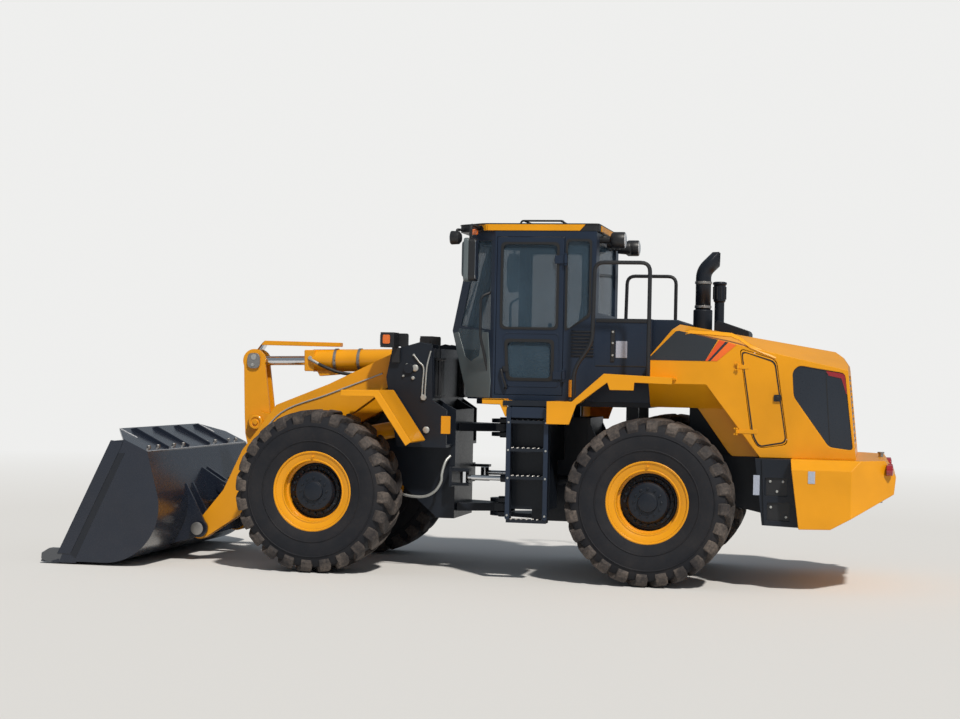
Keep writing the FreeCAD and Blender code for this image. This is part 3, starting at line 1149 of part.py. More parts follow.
def check_and_write():
    """Stop on any failed object, then write one STEP file for each sub-part."""
    doc.recompute()
    bad = [f"{thing.Name}: {thing.State}" for thing in doc.Objects
           if "Invalid" in thing.State or "Error" in thing.State]
    for name, thing in nodes.items():
        shape = thing.Shape
        if shape.isNull() or not shape.isValid() or not shape.Solids:
            bad.append(f"{name}: no valid solid")
    if bad:
        raise SystemExit("failed objects:\n" + "\n".join(bad))
    os.makedirs("parts", exist_ok=True)
    for name, thing in nodes.items():
        thing.Shape.exportStep(f"parts/{name}.step")
        bounds = thing.Shape.BoundBox
        print(f"{name}: {len(thing.Shape.Solids)} solids, {thing.Shape.Volume / 1e9:.4f} m3, "
              f"x {bounds.XMin:.0f} {bounds.XMax:.0f} y {bounds.YMin:.0f} {bounds.YMax:.0f} "
              f"z {bounds.ZMin:.0f} {bounds.ZMax:.0f}")


make_front_frame()
make_rear_frame()
make_axle("front_axle", front_axle_x)
make_axle("rear_axle", rear_axle_x)
for end, axle_x in (("front", front_axle_x), ("rear", rear_axle_x)):
    make_wheel(f"{end}_left", axle_x, 1)
    make_wheel(f"{end}_right", axle_x, -1)
make_arms()
make_rocker()
make_link()
make_bucket()
make_bucket_edge()
make_tilt_cylinder()
make_lift_cylinders()
make_steering()
make_cab()
make_hood()
make_counterweight()
make_side_tanks()
make_rear_fenders()
make_access_steps()
make_rails()
make_exhaust()
make_small_pieces()
check_and_write()
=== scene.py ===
"""Looks of the wheel loader: materials, fine pieces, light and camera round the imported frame.

Metres, +X towards the bucket, +Y to the machine's left, +Z up. The pieces' places along X are
given from the articulation hinge and moved by H when a piece is finished.
"""

import math

import bmesh
import bpy
from mathutils import Matrix, Vector


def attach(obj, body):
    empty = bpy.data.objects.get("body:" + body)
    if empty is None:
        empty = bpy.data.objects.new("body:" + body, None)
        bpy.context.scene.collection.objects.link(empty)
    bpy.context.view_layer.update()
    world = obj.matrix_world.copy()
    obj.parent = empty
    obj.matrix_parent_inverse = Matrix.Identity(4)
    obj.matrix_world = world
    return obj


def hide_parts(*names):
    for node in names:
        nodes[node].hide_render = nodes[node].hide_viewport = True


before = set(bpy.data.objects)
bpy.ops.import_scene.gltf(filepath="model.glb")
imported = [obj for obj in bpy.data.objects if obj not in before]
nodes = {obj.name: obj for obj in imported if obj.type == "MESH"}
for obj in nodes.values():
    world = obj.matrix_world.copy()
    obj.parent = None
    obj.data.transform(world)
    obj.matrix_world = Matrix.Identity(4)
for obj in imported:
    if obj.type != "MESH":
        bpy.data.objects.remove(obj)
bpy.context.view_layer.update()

H = -0.245
AXLE_FRONT = 1.66
AXLE_REAR = -1.66
AXLE_Z = 0.8075
WHEEL_Y = 1.075

CAMERA_PLACE = Vector((-3.975, 18.80, 2.01))
CAMERA_YAW = math.radians(12.02)
CAMERA_PITCH = math.radians(0.42)
CAMERA_ROLL = math.radians(1.17)
CAMERA_LENS = 69.1
BACKGROUND = (0.86, 0.86, 0.85, 1)

YELLOW = (0.80, 0.330, 0.006)
DARK = (0.009, 0.013, 0.021)
CAB_BLUE = (0.014, 0.024, 0.046)
BUCKET_BLUE = (0.012, 0.017, 0.030)
CORNER_GREY = (0.115, 0.140, 0.150)
RUBBER = (0.006, 0.008, 0.013)
DUST = (0.36, 0.29, 0.24)


# Materials

class Nodes:
    """A small helper round one material's node tree."""

    def __init__(self, name):
        self.material = bpy.data.materials.new(name)
        self.material.use_nodes = True
        self.tree = self.material.node_tree
        self.tree.nodes.clear()
        self.output = self.add("ShaderNodeOutputMaterial")
        self.shader = self.add("ShaderNodeBsdfPrincipled")
        self.link(self.shader, "BSDF", self.output, "Surface")
        self.place = self.add("ShaderNodeTexCoord")

    def add(self, kind, **settings):
        node = self.tree.nodes.new(kind)
        for key, value in settings.items():
            setattr(node, key, value)
        return node

    def link(self, source, out, target, into):
        self.tree.links.new(source.outputs[out], target.inputs[into])

    def noise(self, scale, detail=4.0, rough=0.55):
        node = self.add("ShaderNodeTexNoise")
        node.inputs["Scale"].default_value = scale
        node.inputs["Detail"].default_value = detail
        node.inputs["Roughness"].default_value = rough
        self.link(self.place, "Object", node, "Vector")
        return node

    def spread(self, source, out, low, high, to_low=0.0, to_high=1.0):
        """Map a value from low..high to to_low..to_high, held at the ends."""
        node = self.add("ShaderNodeMapRange")
        node.inputs["From Min"].default_value = low
        node.inputs["From Max"].default_value = high
        node.inputs["To Min"].default_value = to_low
        node.inputs["To Max"].default_value = to_high
        self.link(source, out, node, "Value")
        return node

    def maths(self, operation, first, second):
        """One maths node; each input is a (node, output) pair or a number."""
        node = self.add("ShaderNodeMath", operation=operation)
        for i, value in enumerate((first, second)):
            if isinstance(value, tuple):
                self.tree.links.new(value[0].outputs[value[1]], node.inputs[i])
            else:
                node.inputs[i].default_value = value
        return node

    def mix(self, factor, first, second):
        """Mix two colours by a (node, output) factor; a colour is a triple or a (node, output) pair."""
        node = self.add("ShaderNodeMix", data_type="RGBA")
        self.tree.links.new(factor[0].outputs[factor[1]], node.inputs["Factor"])
        for i, value in ((6, first), (7, second)):
            if isinstance(value[0], bpy.types.Node):
                self.tree.links.new(value[0].outputs[value[1]], node.inputs[i])
            else:
                node.inputs[i].default_value = (*value, 1)
        return node

    def bump(self, height, out, strength, distance, normal=None):
        node = self.add("ShaderNodeBump")
        node.inputs["Strength"].default_value = strength
        node.inputs["Distance"].default_value = distance
        self.link(height, out, node, "Height")
        if normal is not None:
            self.link(normal, "Normal", node, "Normal")
        self.link(node, "Normal", self.shader, "Normal")
        return node


def coated(name, colour, rough, dust=0.3, edge=0.006, wear=0.35, coat=0.3):
    """Paint with soft edges, faint tone changes, dust on tops and low down, and worn edges."""
    n = Nodes(name)
    shader = n.shader
    shader.inputs["Coat Weight"].default_value = coat
    shader.inputs["Coat Roughness"].default_value = 0.16
    shader.inputs["Specular IOR Level"].default_value = 0.28
    broad = n.noise(1.6, 3.0)
    tone = n.spread(broad, "Fac", 0.3, 0.7, 0.0, 1.0)
    dark = tuple(c * 0.88 for c in colour)
    light = tuple(min(1.0, c * 1.06) for c in colour)
    toned = n.mix((tone, "Result"), dark, light)
    geometry = n.add("ShaderNodeNewGeometry")
    split = n.add("ShaderNodeSeparateXYZ")
    n.link(geometry, "Normal", split, "Vector")
    up = n.spread(split, "Z", 0.2, 1.0, 0.15, 1.0)
    place = n.add("ShaderNodeSeparateXYZ")
    n.link(n.place, "Object", place, "Vector")
    low = n.spread(place, "Z", 0.2, 1.6, 1.0, 0.35)
    patches = n.noise(7.0, 6.0, 0.65)
    patch = n.spread(patches, "Fac", 0.42, 0.72)
    fallen = n.maths("MULTIPLY", (up, "Result"), (low, "Result"))
    settled = n.maths("MULTIPLY", (fallen, "Value"), (patch, "Result"))
    amount = n.maths("MULTIPLY", (settled, "Value"), dust)
    dusty = n.mix((amount, "Value"), (toned, 2), DUST)
    soft = n.add("ShaderNodeBevel", samples=4)
    soft.inputs["Radius"].default_value = edge
    product = n.add("ShaderNodeVectorMath", operation="DOT_PRODUCT")
    n.link(soft, "Normal", product, 0)
    n.link(geometry, "Normal", product, 1)
    corner = n.spread(product, "Value", 0.97, 0.86)
    scratch = n.noise(24.0, 5.0, 0.7)
    chipped = n.spread(scratch, "Fac", 0.5, 0.62)
    chips = n.maths("MULTIPLY", (corner, "Result"), (chipped, "Result"))
    worn = n.maths("MULTIPLY", (chips, "Value"), wear)
    bare = tuple(0.5 * c + 0.12 for c in colour)
    final = n.mix((worn, "Value"), (dusty, 2), bare)
    n.link(final, 2, shader, "Base Color")
    fine = n.noise(60.0, 3.0)
    gloss = n.spread(fine, "Fac", 0.3, 0.7, rough - 0.05, rough + 0.07)
    matt = n.maths("ADD", (gloss, "Result"), (amount, "Value"))
    n.link(matt, "Value", shader, "Roughness")
    n.bump(fine, "Fac", 0.10, 0.001, soft)
    return n.material


def rubber(name, dust):
    """Tyre rubber with dry dust in broad patches and fine specks."""
    n = Nodes(name)
    n.shader.inputs["Specular IOR Level"].default_value = 0.3
    broad = n.noise(3.0, 5.0, 0.6)
    fine = n.noise(45.0, 4.0, 0.7)
    patch = n.spread(broad, "Fac", 0.40, 0.68, 0.25, 1.0)
    speck = n.spread(fine, "Fac", 0.35, 0.75, 0.3, 1.0)
    both = n.maths("MULTIPLY", (patch, "Result"), (speck, "Result"))
    amount = n.maths("MULTIPLY", (both, "Value"), dust)
    colour = n.mix((amount, "Value"), RUBBER, DUST)
    n.link(colour, 2, n.shader, "Base Color")
    rough = n.spread(fine, "Fac", 0.3, 0.7, 0.62, 0.86)
    n.link(rough, "Result", n.shader, "Roughness")
    soft = n.add("ShaderNodeBevel", samples=4)
    soft.inputs["Radius"].default_value = 0.008
    n.bump(fine, "Fac", 0.35, 0.002, soft)
    return n.material


def plain(name, colour, rough, metal=0.0, coat=0.0, grain=90.0, depth=0.12):
    """Plastic, cloth, bare steel or rubber seal with a fine grain and softened edges."""
    n = Nodes(name)
    n.shader.inputs["Metallic"].default_value = metal
    n.shader.inputs["Coat Weight"].default_value = coat
    grains = n.noise(grain, 4.0, 0.6)
    tone = n.spread(grains, "Fac", 0.3, 0.7)
    toned = n.mix((tone, "Result"), tuple(c * 0.85 for c in colour), tuple(min(1.0, c * 1.12) for c in colour))
    n.link(toned, 2, n.shader, "Base Color")
    gloss = n.spread(grains, "Fac", 0.3, 0.7, max(0.03, rough - 0.05), rough + 0.06)
    n.link(gloss, "Result", n.shader, "Roughness")
    soft = n.add("ShaderNodeBevel", samples=4)
    soft.inputs["Radius"].default_value = 0.003
    n.bump(grains, "Fac", depth, 0.0006, soft)
    return n.material


def weave(name, colour):
    """Seat cloth: two crossing sets of threads with a soft sheen."""
    n = Nodes(name)
    n.shader.inputs["Sheen Weight"].default_value = 0.35
    n.shader.inputs["Roughness"].default_value = 0.85
    across = n.add("ShaderNodeTexWave", bands_direction="Y")
    along = n.add("ShaderNodeTexWave", bands_direction="X")
    for wave in (across, along):
        wave.inputs["Scale"].default_value = 90.0
        wave.inputs["Distortion"].default_value = 0.6
        n.link(n.place, "Object", wave, "Vector")
    threads = n.maths("MULTIPLY", (across, "Fac"), (along, "Fac"))
    toned = n.mix((threads, "Value"), tuple(c * 0.6 for c in colour), tuple(c * 1.5 for c in colour))
    n.link(toned, 2, n.shader, "Base Color")
    n.bump(threads, "Value", 0.4, 0.001)
    return n.material


def glass(name, tint, alpha):
    """Thin tinted pane: clear enough to show the cab's inside, glossy on its face."""
    n = Nodes(name)
    n.shader.inputs["Roughness"].default_value = 0.03
    n.shader.inputs["Alpha"].default_value = alpha
    smear = n.noise(2.2, 4.0)
    tone = n.spread(smear, "Fac", 0.35, 0.65)
    toned = n.mix((tone, "Result"), tint, tuple(c * 1.4 for c in tint))
    n.link(toned, 2, n.shader, "Base Color")
    return n.material


paint_yellow = coated("yellow_paint", YELLOW, 0.34, dust=0.05, wear=0.15, coat=0.15)
paint_dark = coated("dark_paint", DARK, 0.42, dust=0.08, wear=0.15, coat=0.1)
paint_bucket = coated("bucket_paint", BUCKET_BLUE, 0.24, dust=0.10, wear=0.35, coat=0.5)
paint_strip = coated("bucket_strip_paint", (0.010, 0.013, 0.020), 0.34, dust=0.05, wear=0.3)
paint_cab = coated("cab_paint", CAB_BLUE, 0.34, dust=0.04, wear=0.05, coat=0.15)
paint_grey = coated("grey_panel_paint", CORNER_GREY, 0.40, dust=0.1, wear=0.1)
paint_decal = coated("decal_dark", (0.030, 0.036, 0.044), 0.32, dust=0.05, wear=0.0)
paint_red = coated("stripe_red", (0.80, 0.095, 0.022), 0.32, dust=0.03, wear=0.0)
paint_orange = coated("stripe_orange", (0.88, 0.16, 0.025), 0.32, dust=0.03, wear=0.0)
grille_dark = coated("grille_paint", (0.016, 0.022, 0.033), 0.30, dust=0.05, wear=0.1, coat=0.5)
tyre_rubber = rubber("tyre_rubber", 0.07)
tread_rubber = rubber("dusty_tread_rubber", 0.60)
chrome = plain("chrome_rod", (0.72, 0.73, 0.75), 0.12, metal=1.0, depth=0.03)
steel = plain("worn_steel", (0.34, 0.33, 0.32), 0.42, metal=0.9)
zinc = plain("zinc_tube", (0.42, 0.43, 0.42), 0.45, metal=0.4)
plastic = plain("black_plastic", (0.012, 0.013, 0.016), 0.45)
seal = plain("rubber_seal", (0.010, 0.010, 0.011), 0.6)
hose = plain("hose_rubber", (0.012, 0.012, 0.013), 0.5)
lens_clear = plain("lamp_lens_clear", (0.55, 0.57, 0.60), 0.12, coat=1.0)
lens_orange = plain("lamp_lens_orange", (0.75, 0.16, 0.02), 0.15, coat=1.0)
lens_red = plain("lamp_lens_red", (0.30, 0.010, 0.016), 0.18, coat=1.0)
label_pale = plain("pale_plate", (0.40, 0.44, 0.54), 0.4)
# Pale grey painted highlight: it stands for sunlight grazing the dark bucket's top edges, not the steel's own colour.
highlight_edge_paint = plain("painted_highlight_edge", (0.66, 0.67, 0.70), 0.35)
tip_steel = plain("dark_steel", (0.10, 0.105, 0.115), 0.45, metal=0.3)
cloth = weave("seat_cloth", (0.030, 0.032, 0.038))
mirror_face = plain("mirror_glass", (0.75, 0.77, 0.80), 0.05, metal=1.0, depth=0.0)
window = glass("tinted_glass", (0.045, 0.075, 0.105), 0.52)
glass_dark = glass("dark_corner_glass", (0.05, 0.07, 0.085), 0.85)


def dress(names, material):
    for name in names:
        slots = nodes[name].data.materials
        slots.clear()
        slots.append(material)


YELLOW_NODES = ["lift_arms", "rocker", "tilt_barrel", "lift_barrels", "front_fenders", "rear_fenders", "cab_roof",
                "hood_shell", "hood_door_left", "hood_door_right", "counterweight", "rim_front_left",
                "rim_front_right", "rim_rear_left", "rim_rear_right"]
DARK_NODES = ["front_frame", "rear_frame", "front_axle", "rear_axle", "engine_block", "exhaust", "access_steps",
              "side_tanks", "tilt_link", "steer_barrel_left", "steer_barrel_right"]
TYRE_NODES = ["tyre_front_left", "tyre_front_right", "tyre_rear_left", "tyre_rear_right"]
dress(YELLOW_NODES, paint_yellow)
dress(DARK_NODES, paint_dark)
dress(["bucket", "bucket_edge"], paint_bucket)
dress(["cab_frame", "cab_door", "ac_box"], paint_cab)
dress(["rear_grille"], grille_dark)
dress(TYRE_NODES, tyre_rubber)
dress(["lift_rods", "tilt_rod", "steer_rod_left", "steer_rod_right"], chrome)
dress(["cab_interior", "rails_and_lamps", "headlamps"], plastic)
dress(["cab_glass", "door_glass"], window)


# Mesh helpers

def piece(name, mesh, material, body, replaces=()):
    """Link a mesh as a piece that rides on a body."""
    thing = bpy.data.objects.new(name, mesh)
    bpy.context.scene.collection.objects.link(thing)
    thing.data.materials.append(material)
    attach(thing, body)
    if replaces:
        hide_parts(*replaces)
    return thing


def rounded(points, radius, steps=4):
    """An outline with its corners rounded off by short curves."""
    result = []
    count = len(points)
    for i, here in enumerate(points):
        corner = Vector(here)
        before = (Vector(points[i - 1]) - corner)
        after = (Vector(points[(i + 1) % count]) - corner)
        reach = min(radius, before.length * 0.45, after.length * 0.45)
        first = corner + before.normalized() * reach
        last = corner + after.normalized() * reach
        for k in range(steps + 1):
            t = k / steps
            result.append(tuple(first * (1 - t) ** 2 + corner * 2 * t * (1 - t) + last * t * t))
    return result


def smooth_line(points, steps=6):
    """A curve that passes through every point."""
    spots = [Vector(p) for p in points]
    ends = [spots[0] * 2 - spots[1]] + spots + [spots[-1] * 2 - spots[-2]]
    line = []
    for i in range(1, len(ends) - 2):
        a, b, c, d = ends[i - 1:i + 3]
        for k in range(steps):
            t = k / steps
            line.append(0.5 * (2 * b + (c - a) * t + (2 * a - 5 * b + 4 * c - d) * t * t
                               + (3 * b - a - 3 * c + d) * t ** 3))
    line.append(spots[-1])
    return line


def bent(points, radius, steps=5):
    """An open line of places with its corners rounded off."""
    spots = [Vector(p) for p in points]
    line = [spots[0]]
    for i in range(1, len(spots) - 1):
        before = spots[i - 1] - spots[i]
        after = spots[i + 1] - spots[i]
        reach = min(radius, before.length * 0.45, after.length * 0.45)
        first = spots[i] + before.normalized() * reach
        last = spots[i] + after.normalized() * reach
        for k in range(steps + 1):
            t = k / steps
            line.append(first * (1 - t) ** 2 + spots[i] * 2 * t * (1 - t) + last * t * t)
    line.append(spots[-1])
    return line


def carved(solid, operation, *others):
    """The mesh left when other meshes are cut from a mesh, or when only what they share is kept."""
    things = []
    for mesh in (solid, *others):
        thing = bpy.data.objects.new("carving", mesh)
        bpy.context.scene.collection.objects.link(thing)
        things.append(thing)
    for other in things[1:]:
        step = things[0].modifiers.new("carve", "BOOLEAN")
        step.operation = operation
        step.object = other
    result = bpy.data.meshes.new_from_object(things[0].evaluated_get(bpy.context.evaluated_depsgraph_get()))
    for thing in things:
        bpy.data.objects.remove(thing)
    return result


class Build:
    """Collects solids in one mesh; places are metres, along X from the hinge."""

    def __init__(self):
        self.bm = bmesh.new()

    def loops(self, rows, around=True, along=False, ends=True):
        """Quads between rows of places, with a face on the first and the last row."""
        rings = [[self.bm.verts.new(spot) for spot in row] for row in rows]
        count = len(rings)
        for i in range(count if along else count - 1):
            one = rings[i]
            two = rings[(i + 1) % count]
            size = len(one)
            for k in range(size if around else size - 1):
                self.bm.faces.new((one[k], one[(k + 1) % size], two[(k + 1) % size], two[k]))
        if ends and not along:
            self.bm.faces.new(rings[0])
            self.bm.faces.new(rings[-1])
        return self

    def prism(self, axis, points, low, high):
        """A plate: an outline of the other two places, in X, Y, Z order, from low to high along the axis."""
        order = "XYZ".index(axis)
        rows = []
        for along in (low, high):
            row = []
            for point in points:
                spot = list(point)
                spot.insert(order, along)
                row.append(spot)
            rows.append(row)
        return self.loops(rows)

    def block(self, x, y, z):
        return self.prism("Z", [(x[0], y[0]), (x[1], y[0]), (x[1], y[1]), (x[0], y[1])], z[0], z[1])

    def frame(self, axis, points, low, high, width):
        """A ring-shaped plate whose inner outline is drawn in towards the middle."""
        middle = sum((Vector(p) for p in points), Vector((0, 0))) / len(points)
        order = "XYZ".index(axis)
        rows = []
        for inward, along in ((0, low), (0, high), (width, high), (width, low)):
            row = []
            for point in points:
                spot = Vector(point)
                pull = (middle - spot)
                spot = spot + Vector((math.copysign(min(inward, abs(pull.x)), pull.x),
                                      math.copysign(min(inward, abs(pull.y)), pull.y)))
                place = list(spot)
                place.insert(order, along)
                row.append(place)
            rows.append(row)
        return self.loops(rows, along=True)

    def lathe(self, axis, centre, profile, steps=48, closed=False, phase=0.0):
        """A (radius, along) outline turned about a line along the axis through centre."""
        order = "XYZ".index(axis)
        rows = []
        for radius, along in profile:
            row = []
            for i in range(steps):
                turn = 2 * math.pi * i / steps + phase
                spot = [centre[0] + radius * math.cos(turn), centre[1] + radius * math.sin(turn)]
                spot.insert(order, along)
                row.append(spot)
            rows.append(row)
        return self.loops(rows, along=closed)

    def stud(self, axis, centre, radius, low, high, sides=6):
        """A bolt head or a short pin; centre gives the two other places."""
        shrink = radius * 0.86
        tip = high - (high - low) * 0.2
        return self.lathe(axis, centre, [(radius, low), (radius, tip), (shrink, high)], steps=sides, phase=0.3)

    def tube(self, points, radius, sides=10, smooth=True):
        """A round tube along a line of places."""
        line = smooth_line(points) if smooth else [Vector(p) for p in points]
        rows = []
        side = None
        for i, spot in enumerate(line):
            ahead = (line[min(i + 1, len(line) - 1)] - line[max(i - 1, 0)]).normalized()
            if side is None:
                side = ahead.orthogonal().normalized()
            side = (side - ahead * side.dot(ahead)).normalized()
            other = ahead.cross(side)
            row = []
            for k in range(sides):
                turn = 2 * math.pi * k / sides
                row.append(spot + side * (radius * math.cos(turn)) + other * (radius * math.sin(turn)))
            rows.append(row)
        return self.loops(rows)

    def both(self):
        """Repeat everything so far on the machine's other side."""
        copied = bmesh.ops.duplicate(self.bm, geom=self.bm.verts[:] + self.bm.edges[:] + self.bm.faces[:])
        for item in copied["geom"]:
            if isinstance(item, bmesh.types.BMVert):
                item.co.y = -item.co.y
        return self

    def mesh(self, name):
        """The finished mesh, still placed from the hinge."""
        self.bm.normal_update()
        bmesh.ops.recalc_face_normals(self.bm, faces=self.bm.faces)
        mesh = bpy.data.meshes.new(name)
        self.bm.to_mesh(mesh)
        self.bm.free()
        return mesh

    def take(self, mesh):
        """Add a mesh that was carved before."""
        self.bm.from_mesh(mesh)
        return self

    def done(self, name, material, body, slot, replaces=(), bevel=0.0, smooth=False, at=(0, 0, 0)):
        """Finish the mesh, move it into the model's frame and hang it on its body."""
        mesh = self.mesh(name)
        mesh.transform(Matrix.Translation((H + at[0], at[1], at[2])))
        if smooth:
            mesh.shade_smooth()
            mesh.set_sharp_from_angle(angle=math.radians(32))
        thing = piece(name, mesh, material, body, replaces)
        if bevel:
            soften = thing.modifiers.new("soften", "BEVEL")
            soften.width = bevel
            soften.segments = 2
            soften.limit_method = "ANGLE"
            soften.angle_limit = math.radians(35)
        return thing


# Tyres, rims and hubs

TYRE_LUGS = 24
LUG_PHASE = math.radians(7.5)
TREAD_OUTER = [(0.012, 0.8070), (0.10, 0.8070), (0.18, 0.8060), (0.235, 0.8010), (0.268, 0.7840), (0.287, 0.7520),
               (0.2970, 0.7050)]
TREAD_BASE = [(0.012, 0.7600), (0.10, 0.7600), (0.18, 0.7570), (0.225, 0.7480), (0.250, 0.7300), (0.268, 0.7000),
              (0.2800, 0.6600)]
CARCASS = [(0.402, -0.262), (0.47, -0.284), (0.55, -0.297), (0.62, -0.2985), (0.69, -0.284), (0.738, -0.256),
           (0.760, -0.20), (0.766, -0.10), (0.768, 0.0), (0.766, 0.10), (0.760, 0.20), (0.738, 0.256),
           (0.69, 0.284), (0.62, 0.2985), (0.55, 0.297), (0.47, 0.284), (0.402, 0.262), (0.345, 0.238), (0.345, -0.238)]


def make_lugs():
    """Both rows of slanted lugs, centred on the origin, turning about Y."""
    build = Build()
    pitch = 2 * math.pi / TYRE_LUGS
    half_top = 0.056
    half_base = 0.066
    slant = pitch * 0.62
    for side in (1, -1):
        for i in range(TYRE_LUGS):
            start = i * pitch + LUG_PHASE + slant / 2
            rows = []
            for k, ((y, r), (base_y, base_r)) in enumerate(zip(TREAD_OUTER, TREAD_BASE)):
                middle = start - slant * min(1.0, k / 4)
                row = []
                for yy, rr, half in ((base_y, base_r, -half_base), (y, r, -half_top), (y, r, half_top),
                                     (base_y, base_r, half_base)):
                    turn = middle + half / 0.8
                    row.append((rr * math.cos(turn), yy * side, rr * math.sin(turn)))
                rows.append(row)
            build.loops(rows)
    return build


RIM_PROFILE = [(0.300, -0.262), (0.397, -0.262), (0.399, -0.244), (0.338, -0.238), (0.338, 0.238), (0.399, 0.244),
               (0.3985, 0.260), (0.390, 0.2640), (0.380, 0.2600), (0.374, 0.250), (0.340, 0.243), (0.318, 0.232),
               (0.311, 0.236), (0.304, 0.236), (0.299, 0.230), (0.299, 0.135), (0.278, 0.128), (0.278, 0.078),
               (0.300, 0.045)]
HUB_PROFILE = [(0.2785, 0.046), (0.2785, 0.084), (0.262, 0.090), (0.248, 0.090), (0.244, 0.112), (0.212, 0.120),
               (0.206, 0.150), (0.186, 0.186), (0.160, 0.196), (0.098, 0.196), (0.092, 0.220), (0.078, 0.226),
               (0.001, 0.226)]

for end, axle_x in (("front", AXLE_FRONT), ("rear", AXLE_REAR)):
    for label, sign in (("left", 1), ("right", -1)):
        body = f"wheel_{end}_{label}"
        at = (axle_x, WHEEL_Y * sign, AXLE_Z)
        carcass = Build().lathe("Y", (0, 0), CARCASS, steps=120, closed=True)
        for radius, y in ((0.50, 0.2905), (0.645, 0.2965)):
            for turned in (y, -y):
                ridge = [(radius + 0.007, turned), (radius, turned + 0.006), (radius - 0.007, turned),
                         (radius, turned - 0.006)]
                carcass.lathe("Y", (0, 0), ridge, steps=96, closed=True)
        carcass.done(f"tyre_{end}_{label}_carcass", tyre_rubber, body, "tyre_rubber", [f"tyre_{end}_{label}"],
                     smooth=True, at=at)
        make_lugs().done(f"tyre_{end}_{label}_lugs", tread_rubber, body, "tyre_rubber", at=at, bevel=0.006)
        rim = Build().lathe("Y", (0, 0), [(r, y * sign) for r, y in RIM_PROFILE], steps=96, closed=True)
        rim.stud("Y", (0.0, 0.345), 0.012, 0.235 * sign, 0.262 * sign, sides=8)
        rim.done(f"rim_{end}_{label}_ring", paint_yellow, body, "yellow_paint", [f"rim_{end}_{label}"], smooth=True,
                 at=at)
        hub = Build().lathe("Y", (0, 0), [(r, y * sign) for r, y in HUB_PROFILE], steps=64)
        for i in range(20):
            turn = 2 * math.pi * i / 20
            hub.stud("Y", (0.229 * math.cos(turn), 0.229 * math.sin(turn)), 0.014, 0.114 * sign, 0.138 * sign)
        for i in range(12):
            turn = 2 * math.pi * i / 12
            hub.stud("Y", (0.132 * math.cos(turn), 0.132 * math.sin(turn)), 0.011, 0.194 * sign, 0.208 * sign)
        hub.done(f"hub_{end}_{label}", paint_dark, body, "dark_paint", smooth=True, at=at)


# Bucket

def make_bucket_trim():
    strips = Build()
    outer = [(3.722, 1.262), (4.272, 0.105), (4.130, 0.105), (3.640, 1.135), (3.590, 1.250)]
    strips.prism("Y", outer, 1.486, 1.4975)
    strips.both()
    strips.done("bucket_side_strips", paint_bucket, "bucket", "bucket_paint", bevel=0.004)
    bands = Build()
    bands.prism("Y", [(3.640, 1.135), (4.130, 0.105), (4.075, 0.062), (3.570, 1.135)], 1.486, 1.4915)
    bands.both()
    bands.done("bucket_side_bands", paint_strip, "bucket", "bucket_paint")
    corners = Build()
    tip = [(4.195, 0.020), (4.195, 0.155), (4.365, 0.155), (4.446, 0.105), (4.449, 0.045), (4.380, 0.016)]
    corners.prism("Y", tip, 1.390, 1.4895)
    corners.both()
    corners.done("bucket_corner_tips", tip_steel, "bucket", "bucket_paint", bevel=0.006)
    # The shelf edge gets the painted highlight for its sunlit top edge.
    shelf = Build()
    shelf.block((3.334, 3.352), (-1.485, 1.485), (1.140, 1.163))
    shelf.done("bucket_shelf_edge", highlight_edge_paint, "bucket", "bucket_paint", bevel=0.002)
    bolts = Build()
    for y in (-1.30, -1.05, -0.62, -0.35, 0.35, 0.62, 1.05, 1.30):
        bolts.stud("Z", (3.392, y), 0.020, 1.180, 1.212)
    bolts.done("bucket_guard_bolts", steel, "bucket", "bucket_paint")
    ribs = Build()
    for y in (0.300, 0.880):
        ribs.prism("Y", [(3.342, 1.142), (3.334, 1.189), (3.700, 1.374), (3.772, 1.356)], y, y + 0.022)
    ribs.both()
    ribs.done("bucket_guard_ribs", paint_bucket, "bucket", "bucket_paint", bevel=0.004)
    # The guard ends get the painted highlight for their sunlit edges.
    end = Build()
    end.prism("Y", [(3.786, 1.350), (3.786, 1.374), (3.592, 1.285), (3.592, 1.260)], 1.118, 1.126)
    end.both()
    end.done("bucket_guard_ends", highlight_edge_paint, "bucket", "bucket_paint", bevel=0.002)


# Loader linkage

def make_linkage_trim():
    top = Build()
    for y0, y1 in ((0.108, 0.120), (-0.120, -0.108)):
        oval = rounded([(2.640, 2.010), (2.782, 2.010), (2.782, 2.175), (2.640, 2.175)], 0.068, steps=6)
        top.prism("Y", oval, y0, y1)
    top.done("rocker_top_keepers", steel, "rocker", "yellow_paint", bevel=0.003)
    keeper = Build()
    keeper.stud("Y", (2.720, 2.048), 0.020, 0.119, 0.131)
    keeper.stud("Y", (2.711, 2.130), 0.030, 0.119, 0.126, sides=20)
    keeper.both()
    keeper.done("rocker_top_bolts", zinc, "rocker", "yellow_paint")
    hub = Build()
    ring = [(0.078, 0.150), (0.078, 0.166), (0.070, 0.172), (0.052, 0.172), (0.048, 0.164), (0.030, 0.164),
            (0.026, 0.178), (0.001, 0.180)]
    hub.lathe("Y", (2.66, 1.44), ring, steps=40)
    hub.both()
    hub.done("rocker_pivot_caps", paint_yellow, "lift_arms", "yellow_paint", smooth=True)
    tips = Build()
    tip_cap = [(0.066, 0.720), (0.066, 0.730), (0.050, 0.736), (0.020, 0.736), (0.001, 0.737)]
    tips.lathe("Y", (3.08, 0.34), tip_cap, steps=32)
    tips.both()
    tips.done("bucket_pin_caps", steel, "bucket", "bucket_paint", smooth=True)
    lines = Build()
    lines.tube([(1.15, 0.640, 1.985), (1.72, 0.640, 1.760), (2.22, 0.640, 1.560), (2.52, 0.640, 1.190)], 0.008)
    lines.both()
    lines.done("arm_grease_lines", zinc, "lift_arms", "yellow_paint", smooth=True)


def on_tilt_barrel(along, side, rise):
    """A place beside the tilt cylinder: along its line from the rear pin, to the side and above."""
    start = Vector((1.000, 0, 2.130))
    end = Vector((2.711, 0, 2.092))
    ahead = (end - start).normalized()
    above = Vector((-ahead.z, 0, ahead.x))
    spot = start + ahead * along + above * rise
    return (spot.x, side, spot.z)


